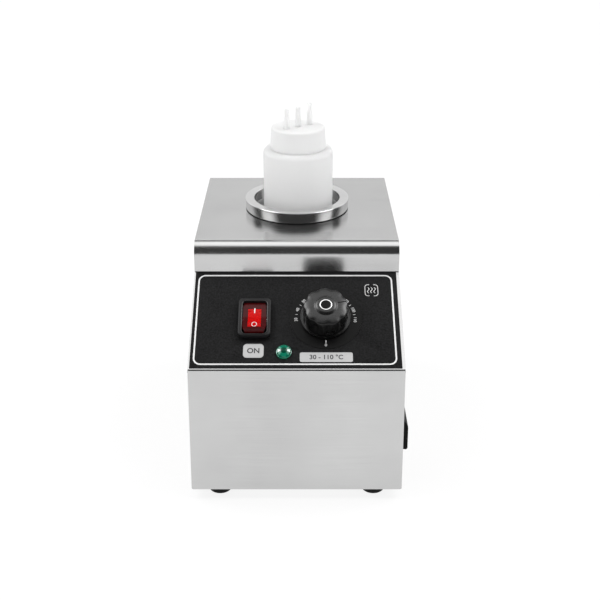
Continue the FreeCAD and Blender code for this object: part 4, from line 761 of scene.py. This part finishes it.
def make_prints():
    """White outline around the panel, and two name plates with generic words."""
    line = inked("panel_outline", [box_outline(160.0, 86.2, -1.2, 48.4, 6.0),
                                   box_outline(157.5, 83.7, -1.2, 48.4, 4.8)])
    piece("panel_outline", line, white_ink, "housing")
    small = inked("plate_small", [box_outline(16.2, 12.7, radius=3.0)], -34.0, 18.15)
    wide = inked("plate_wide", [box_outline(41.6, 8.7, radius=1.5)], 23.3, 12.3)
    piece("name_plates", joined("name_plates", small, wide), plate_ink, "housing")
    words = [text_mesh("word_on", "ON", 6.4, on_panel(-34.0, 18.0, 3 * INK), 0.14),
             text_mesh("word_range", "30 - 110 °C", 5.6, on_panel(23.3, 12.2, 3 * INK), 0.12)]
    piece("plate_words", joined("plate_words", *words), black_ink, "housing")


def make_heat_symbol():
    """Three upright waves in a rounded frame that is open above and below."""
    right, along, pitch, half_line = 61.3, 76.1, 2.6, 0.27
    rows = [i * 0.35 - 2.8 for i in range(17)]
    waves = []
    for step in (-pitch, 0, pitch):
        bend = [(step + 0.7 * math.sin(y * 1.25) + side * half_line, y)
                for side, order in ((1, 1), (-1, -1)) for y in rows[::order]]
        waves.append(inked("heat_wave", [bend], right, along))
    rim = inked("symbol_frame", [box_outline(11.0, 11.5, radius=2.6),
                                 box_outline(10.1, 10.6, radius=2.2)], right, along)
    gaps = [slab_mesh("frame_gap", [box_outline(3.4, 3.0)], -1, 1, on_panel(right, along + y),
                      0.02) for y in (-5.5, 5.5)]
    symbol = joined("heat_symbol", carved(rim, *gaps), *waves)
    piece("heat_symbol", symbol, white_ink, "housing")


def make_dial_marks():
    """Numbers and ticks around the knob, rising clockwise, with a zero mark at the bottom."""
    count, first, pitch, reach, low, high = 9, 184.0, 23.5, 23.7, 0.4, 0.43
    marks = []
    for order in range(count):
        turn = first - pitch * order
        spot = Matrix.Translation((reach, 0, 0)) @ Matrix.Rotation(math.radians(-90), 4, "Z")
        place = on_panel(DIAL_RIGHT, DIAL_ALONG, high, turn) @ spot
        marks.append(text_mesh("number", str(30 + 10 * order), 3.5, place))
        if order < count - 1:
            marks.append(slab_mesh("tick", [box_outline(1.8, 0.4, 23.4)], 0, 0.05,
                                   on_panel(DIAL_RIGHT, DIAL_ALONG, low, turn - pitch / 2), 0.01))
    marks.append(slab_mesh("zero_tick", [box_outline(0.7, 2.4, 0.0, -22.2)], 0, 0.05,
                           on_panel(DIAL_RIGHT, DIAL_ALONG, low), 0.01))
    marks.append(text_mesh("zero", "0", 3.6, on_panel(DIAL_RIGHT, DIAL_ALONG - 25.6, high)))
    piece("dial_numbers", joined("dial_numbers", *marks), white_ink, "housing")


# Knob, switch and lamp

def knob_reach(angle, radius, height):
    """Shallow flutes in the grip, from the skirt up, fading out towards the hub."""
    foot, start, fade, grip = 3.3, 13.5, 3.2, 18.02
    inside = radius < 16 and height < 16.5
    if radius < start or height < foot or inside or radius > grip:
        return radius
    pitch = 360 / FLUTE_COUNT
    away = (math.degrees(angle) - POINTER_TURN - pitch / 2) % pitch
    away = min(away, pitch - away) / 15
    deep = 0.5 + 0.5 * math.cos(math.pi * min(away, 1.0))
    return radius - deep * min(1.0, (radius - start) / fade)


def make_knob():
    """Fluted control knob: skirt, grip, falling face with a pointer groove, and raised hub."""
    place = on_panel(DIAL_RIGHT, DIAL_ALONG)
    inside = [(0, 15.9), (3.05, 15.9), (3.05, 2.0), (5.6, 2.0), (5.6, 15.3, 0.5),
              (15.5, 14.2, 0.5), (15.8, 0.8)]
    skirt = [(19.6, 0.8), (20.3, 2.6), (20.3, 3.1), (20.15, 3.2), (19.95, 3.15), (19.8, 1.8),
             (18.05, 1.8)]
    grip = [(18.0, 3.4), (17.98, 5.4), (17.95, 8.0), (17.85, 11.0), (17.75, 14.5), (17.7, 16.3),
            (17.6, 16.7), (17.35, 17.0)]
    face = [(16.9, 17.2), (16.2, 17.4), (15.2, 17.62), (14.2, 17.8), (13.0, 17.98),
            (11.4, 18.15), (10.0, 18.24), (9.4, 18.26)]
    hub = [(9.1, 18.34), (8.7, 18.6), (8.0, 19.0), (7.2, 19.28), (6.6, 19.4), (5.1, 19.4),
           (5.02, 19.3), (5.02, 18.45), (0, 18.45)]
    section = soften(inside + skirt + grip + face + hub, closed=False)
    body = lathe_mesh("knob_moulded", section, place, 216, radial=knob_reach)
    groove = prism_mesh("pointer_groove", [
        (10.0, 17.7), (13.0, 17.4), (16.2, 16.8), (17.2, 16.3), (19.0, 15.6), (19.0, 19.2),
        (10.0, 19.2)], 0.9, place @ Matrix.Rotation(math.radians(POINTER_TURN - 90), 4, "Z"))
    piece("knob_moulded", carved(body, groove), knob_black, "knob_body",
          ["knob"], 40.0)
    seat, inner, outer, top = 18.5, 4.1, 4.95, 19.45
    rim = lathe_mesh("hub_ring", soften([(inner, seat), (outer, seat), (outer, top, 0.15),
                                         (inner, top, 0.15)]), place, 96, closed=True)
    piece("hub_ring", rim, bright_metal, "knob_body", ["knob_badge"])
    disc = lathe_mesh("hub_disc", [(0, seat), (4.08, seat), (4.08, 19.15), (3.9, 19.2),
                                   (0, 19.25)], place, 96)
    piece("hub_disc", disc, dial_film, "knob_body")


def make_switch():
    """Rounded bezel with its box, and a thin lip around the opening in a lighter, glossier black;
    its lighter tone is a painted highlight on the opening's edge.
    """
    place = on_panel(SWITCH_RIGHT, SWITCH_ALONG)
    opening = box_outline(20.0, 31.2, radius=3.2)
    bezel = slab_mesh("switch_bezel", [box_outline(26, 35.4, 0, 0.6, 3.0), opening], 0, 5.5,
                      place, 0.7)
    box = slab_mesh("switch_box", [box_outline(22.6, 32.8, radius=0.8), opening], -20, 0.6, place,
                    0.2)
    floor_plate = slab_mesh("switch_floor", [box_outline(20.6, 31.2)], -20, -15.2, place, 0.1)
    piece("switch_bezel", joined("switch_bezel", bezel, box, floor_plate), case_black, "housing",
          ["switch_housing"])
    # the lip's lighter black is a painted highlight along the edge of the opening; its gloss
    # catches real highlights too
    lip = slab_mesh("switch_lip", [box_outline(20.9, 32.1, radius=3.6), opening], 5.3, 5.7, place,
                    0.18)
    piece("switch_lip", lip, lip_black, "housing")


def make_rocker():
    """Lit rocker with two sloped faces, marked I and O; its glow is painted as a bright red window.
    """
    pivot, middle, bend, half = 0.5, 4.3, 1.5, 9.5
    rocker_place = on_panel(SWITCH_RIGHT, SWITCH_ALONG, pivot, 0, -ROCKER_TILT)
    reach, keel, corner = 15.3, 3.0, 3.0

    def top(y):
        return middle + ROCKER_SLOPE * math.sqrt(y * y + bend)

    def half_width(y):
        past = max(0.0, abs(y) - reach + corner)
        return half - corner + math.sqrt(max(0.0, corner * corner - past * past))
    ends = math.asin(keel / reach)
    rise = math.asin(top(reach) / reach)
    arc = [-ends + (rise + ends) * i / 16 for i in range(17)]
    right_end = [(reach * math.cos(a), reach * math.sin(a)) for a in arc]
    crest = [(y, top(y)) for y in (13.6, 12.6, 11, 8, 5, 2.5, 1, 0)]
    crest += [(-y, z) for y, z in crest[-2::-1]]
    left_end = [(-y, z) for y, z in right_end[::-1]]
    shell = prism_mesh("rocker_shell", right_end + crest + left_end, 0, rocker_place, 0.7,
                       half_width)
    piece("rocker_shell", shell, rocker_red, "rocker_body", ["switch_rocker"], 30.0)
    # painted light: this bright strip gives the light of the lamp inside as colour
    rows = [-11.9, -9, -6, -3, -1, 0, 1, 3, 5, 7.7]
    strip = [(y, top(y) + 0.05) for y in rows] + [(y, top(y) - 0.5) for y in rows[::-1]]
    window = prism_mesh("rocker_window", strip, 10.5, rocker_place, 0.04)
    piece("rocker_window", window, window_red, "rocker_body")
    marks = []
    for y, outlines in ((6.1, [box_outline(0.95, 5.2)]),
                        (-9.2, [oval(2.15, 2.75), oval(1.65, 2.25)])):
        lean = math.copysign(math.atan(ROCKER_SLOPE), y)
        spot = Matrix.Translation((0, y, top(y) + 0.02)) @ Matrix.Rotation(lean, 4, "X")
        marks.append(slab_mesh("rocker_mark", outlines, 0, 0.1, rocker_place @ spot, 0.02))
    piece("rocker_marks", joined("rocker_marks", *marks), white_ink, "rocker_body")


def make_lens():
    """Green faceted pilot lens with a smooth rim, and a crown in a darker, less glossy copy of its
    green: painted shade.
    """
    facets, crown_reach, foot, shoulder, smooth = 12, 2.7, 1.05, 3.5, 8.0
    place = on_panel(LAMP_RIGHT, LAMP_ALONG)
    turned = place @ Matrix.Rotation(math.radians(180 / facets), 4, "Z")
    rim = lathe_mesh("lens_rim", soften([(0, 0), (6.2, 0), (6.2, 1.3, 0.4), (5.75, 1.5), (5.7, 1.1),
                                         (0, 1.1)], closed=False), place, 72)
    cut = lathe_mesh("lens_facets", [(crown_reach, foot), (5.7, foot), (5.1, 2.6),
                                     (crown_reach, shoulder)], turned, facets, closed=True)
    piece("lens_facets", joined("lens_facets", rim, cut), lens_green, "housing",
          ["lamp_lens"], smooth)
    # painted shade: the crown's darker green shades the centre of the lens
    crown = lathe_mesh("lens_crown", [(0, foot), (crown_reach, foot), (crown_reach, shoulder),
                                      (1.4, 3.85), (0, 3.95)], turned, facets)
    piece("lens_crown", crown, lens_deep, "housing", (), smooth)


# Power inlet

def make_inlet():
    """Inlet on the right side: a flange with a rounded, falling top around a socket cavity."""
    low, high = (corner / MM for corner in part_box("inlet_housing"))
    place = Matrix.Translation(MM * Vector((shell_high.x, (low.y + high.y) / 2,
                                            (low.z + high.z) / 2)))
    place = place @ Matrix(((0, 0, 1, 0), (1, 0, 0, 0), (0, 1, 0, 0), (0, 0, 0, 1))) @ IN_MM
    side, bevel, bottom, shoulder, top = 12.2, 8.2, -11.2, 1.2, 5.2
    mouth = [(-side, bottom), (side, bottom), (side, shoulder), (bevel, top), (-bevel, top),
             (-side, shoulder)]
    half_tall, wide, out, seat_low, clear = 15, 48, 6, 4, 9
    flange = prism_mesh("inlet_flange", soften([
        (-half_tall, 0), (half_tall, 0), (half_tall, 1.4), (6, out, 3), (-half_tall, out, 1)]),
        wide, place, 1.0)
    cutters = [slab_mesh("mouth", [mouth], -1, clear, place, 0.1)]
    for step in (-20, 20):
        cutters.append(rod_mesh("seat", 3.2, seat_low, clear,
                                place @ Matrix.Translation((step, -3, 0)), 32))
    pocket = carved(slab_mesh("inlet_pocket", [box_outline(27, 19.6, 0, -3, 0.8)], -17, 0.4,
                              place), slab_mesh("mouth", [mouth], -13, 2, place, 0.1))
    piece("inlet_moulded", joined("inlet_moulded", carved(flange, *cutters), pocket), inlet_black,
          "housing", ["inlet_housing"])


# Bottle

def make_bottle():
    """Soft squeeze bottle with a rounded shoulder and a threaded neck."""
    low, shoulder, top, reach = POT_LOW + 1, 245.4, 262, 30.8
    floor, under, inside = low + BOTTLE_WALL, 243.8, 29.2
    section = soften([
        (0, low), (reach, low, 3), (reach, shoulder, 4.6), (NECK_REACH, shoulder, 0.5),
        (NECK_REACH, top, 0.3), (NECK_INSIDE, top, 0.3), (NECK_INSIDE, under),
        (inside, under, 3), (inside, floor, 2.2), (0, floor)], closed=False)
    wall = lathe_mesh("bottle_wall", section, BOTTLE, 160)
    point = bpy.data.meshes.new("thread_start")
    point.from_pydata([(0, 0, 0)], [], [])
    ridge = grown("neck_thread", point, thread_group(), BOTTLE @ Matrix.Translation((0, 0, 251)),
                  radius=NECK_REACH, rise=9.0, turns=2.0, ridge=0.24, finish=plastic_milky)
    piece("bottle_wall", joined("bottle_wall", wall, ridge), plastic_milky, "bottle_body",
          ["bottle"])


def make_cap():
    """Screw cap with a slight taper and three hollow nozzles in a slanting row."""
    inside, foot, ceiling, top = NECK_REACH + 0.3, 245.6, 262.6, 264.6
    section = soften([
        (inside, foot), (24.6, foot, 0.3), (23.6, top, 2.0), (0, top), (0, ceiling),
        (inside, ceiling)])
    shell = lathe_mesh("cap_shell", section, BOTTLE, 128)
    pitch, turn, bore, tip = 12.6, 37, 1.0, 284
    spots = [BOTTLE @ Matrix.Rotation(math.radians(turn), 4, "Z")
             @ Matrix.Translation((step, 0, drop))
             for step, drop in ((-pitch, -1.6), (0, -1.0), (pitch, 0))]
    bores = [rod_mesh("bore", bore, 260, 270, spot, 24) for spot in spots]
    nozzle = soften([(bore, 262.5), (2.9, 262.5), (2.75, 266), (2.5, 270), (2.1, tip, 0.9),
                     (bore, tip, 0.2)])
    tubes = [lathe_mesh("nozzle", nozzle, spot, 40, closed=True) for spot in spots]
    piece("cap_shell", joined("cap_shell", carved(shell, *bores), *tubes), plastic_milky,
          "cap_body", ["bottle_cap"])


make_ring()
make_pot()
make_cover()
make_front_hem()
make_feet()
make_screws()
make_sheet()
make_prints()
make_heat_symbol()
make_dial_marks()
make_knob()
make_switch()
make_rocker()
make_lens()
make_inlet()
make_bottle()
make_cap()


# Studio

def make_floor():
    """Pale floor; the camera sees it near white, with the object's soft shadow."""
    material, tree, shader = finish_of("floor_pale", Roughness=0.9, Specular_IOR_Level=0.1)
    cloud = noise(tree, place_of(tree), 3.0)
    tree.links.new(grey(tree, spread(tree, cloud, 0.85, 0.87)), shader.inputs["Base Color"])
    glow = add(tree, "ShaderNodeEmission", {"Color": (1, 1, 1, 1), "Strength": 1.0})
    rays = add(tree, "ShaderNodeLightPath")
    coords = add(tree, "ShaderNodeTexCoord")
    back = add(tree, "ShaderNodeSeparateXYZ", {"Vector": coords.outputs["Object"]})
    # a mirrored floor fades towards the back
    mirrored = sums(tree, "MULTIPLY", spread(tree, back.outputs["Y"], 1.0, 0.72, 0.15, 0.7),
                    rays.outputs["Is Glossy Ray"])
    seen = sums(tree, "MAXIMUM", rays.outputs["Is Camera Ray"], mirrored)
    clear = sums(tree, "MAXIMUM", seen, rays.outputs["Is Transmission Ray"])
    share = sums(tree, "MULTIPLY", clear, 0.85)
    mix = add(tree, "ShaderNodeMixShader", {0: share, 1: shader.outputs[0], 2: glow.outputs[0]})
    tree.links.new(mix.outputs[0], tree.nodes["Material Output"].inputs["Surface"])
    shape = bmesh.new()
    bmesh.ops.create_circle(shape, cap_ends=True, radius=9.0, segments=96)
    mesh = bpy.data.meshes.new("floor")
    shape.to_mesh(mesh)
    shape.free()
    mesh.materials.append(material)
    floor = bpy.data.objects.new("floor", mesh)
    bpy.context.scene.collection.objects.link(floor)


def make_world():
    """A studio of soft light: bright above, pale behind, a box and a spot on each side."""
    world = bpy.data.worlds.new("studio")
    bpy.context.scene.world = world
    world.use_nodes = True
    tree = world.node_tree
    tree.nodes.clear()
    coords = add(tree, "ShaderNodeTexCoord")
    way = add(tree, "ShaderNodeSeparateXYZ", {"Vector": coords.outputs["Generated"]})
    x, y, z = (way.outputs[axis] for axis in "XYZ")

    def plus(one, two):
        return sums(tree, "ADD", one, two)

    def times(one, two):
        return sums(tree, "MULTIPLY", one, two)

    def rise(value, low, high):
        return add(tree, "ShaderNodeMapRange", {"Value": value, "From Min": low,
                   "From Max": high}, interpolation_type="SMOOTHSTEP").outputs["Result"]

    def fall(value, low, high):
        return sums(tree, "SUBTRACT", 1.0, rise(value, low, high))
    out = sums(tree, "ABSOLUTE", x)
    degrees = sums(tree, "DEGREES", sums(tree, "ARCTAN2", out, times(y, -1.0)))
    # a ceiling over the object, between a near and a far edge
    ceiling = times(times(rise(y, -0.44, -0.14), fall(y, 0.38, 0.58)), rise(z, 0.35, 0.78))
    overhead = times(times(ceiling, fall(out, 0.42, 0.62)), 1.5)
    # the wall behind the object, brighter towards its top
    wall = times(fall(z, 0.58, 0.7), plus(0.8, times(rise(z, 0.43, 0.53), 0.36)))
    behind = times(rise(degrees, 100.0, 125.0), wall)
    # a tall box on each side
    side_on = times(rise(degrees, 40.0, 66.0), fall(degrees, 80.0, 90.0))
    tall_part = times(rise(z, 0.29, 0.36), fall(z, 0.6, 0.75))
    sides = times(times(side_on, tall_part), 1.5)
    # a small spot high on each side, for the glints on knob and lens
    aim = plus(plus(times(out, 0.56), times(y, 0.08)), times(z, 0.824))
    spots = times(rise(aim, 0.94, 0.985), 6.0)
    light = plus(plus(overhead, behind), plus(plus(sides, spots), 0.05))
    rays = add(tree, "ShaderNodeLightPath")
    clear = sums(tree, "MAXIMUM", rays.outputs["Is Camera Ray"],
                 rays.outputs["Is Transmission Ray"])
    shown = add(tree, "ShaderNodeMix", {"Factor": clear, 2: light, 3: 1.0}, data_type="FLOAT")
    ground = add(tree, "ShaderNodeBackground", {"Color": (1, 1, 1, 1),
                                                "Strength": shown.outputs[0]})
    output = add(tree, "ShaderNodeOutputWorld")
    tree.links.new(ground.outputs[0], output.inputs["Surface"])


def make_soft_box(name, place):
    """A square light at a place, turned to the object and unseen in its reflections."""
    light = bpy.data.lights.new(name, "AREA")
    light.size = 0.9
    light.energy = 8.0
    lamp = bpy.data.objects.new(name, light)
    lamp.location = place
    aim = Vector((0, 0, 0.15))
    lamp.rotation_euler = (aim - Vector(place)).to_track_quat("-Z", "Y").to_euler()
    lamp.visible_glossy = False
    bpy.context.scene.collection.objects.link(lamp)


def make_camera():
    """Stands where the photograph was taken from."""
    downward = 18.961    # degrees
    data = bpy.data.cameras.new("camera")
    data.lens = 65.89
    data.sensor_width = 36
    data.shift_y = -0.1756
    camera = bpy.data.objects.new("camera", data)
    camera.location = MM * Vector((-0.8, -891.9, 522.15))
    camera.rotation_euler = (math.radians(90 - downward), 0, 0)
    bpy.context.scene.collection.objects.link(camera)
    bpy.context.scene.camera = camera


make_floor()
make_world()
make_soft_box("soft_left", (-1.1, -1.5, 0.7))
make_soft_box("soft_right", (1.1, -1.5, 0.7))
make_camera()
bpy.context.scene.view_settings.view_transform = "Standard"
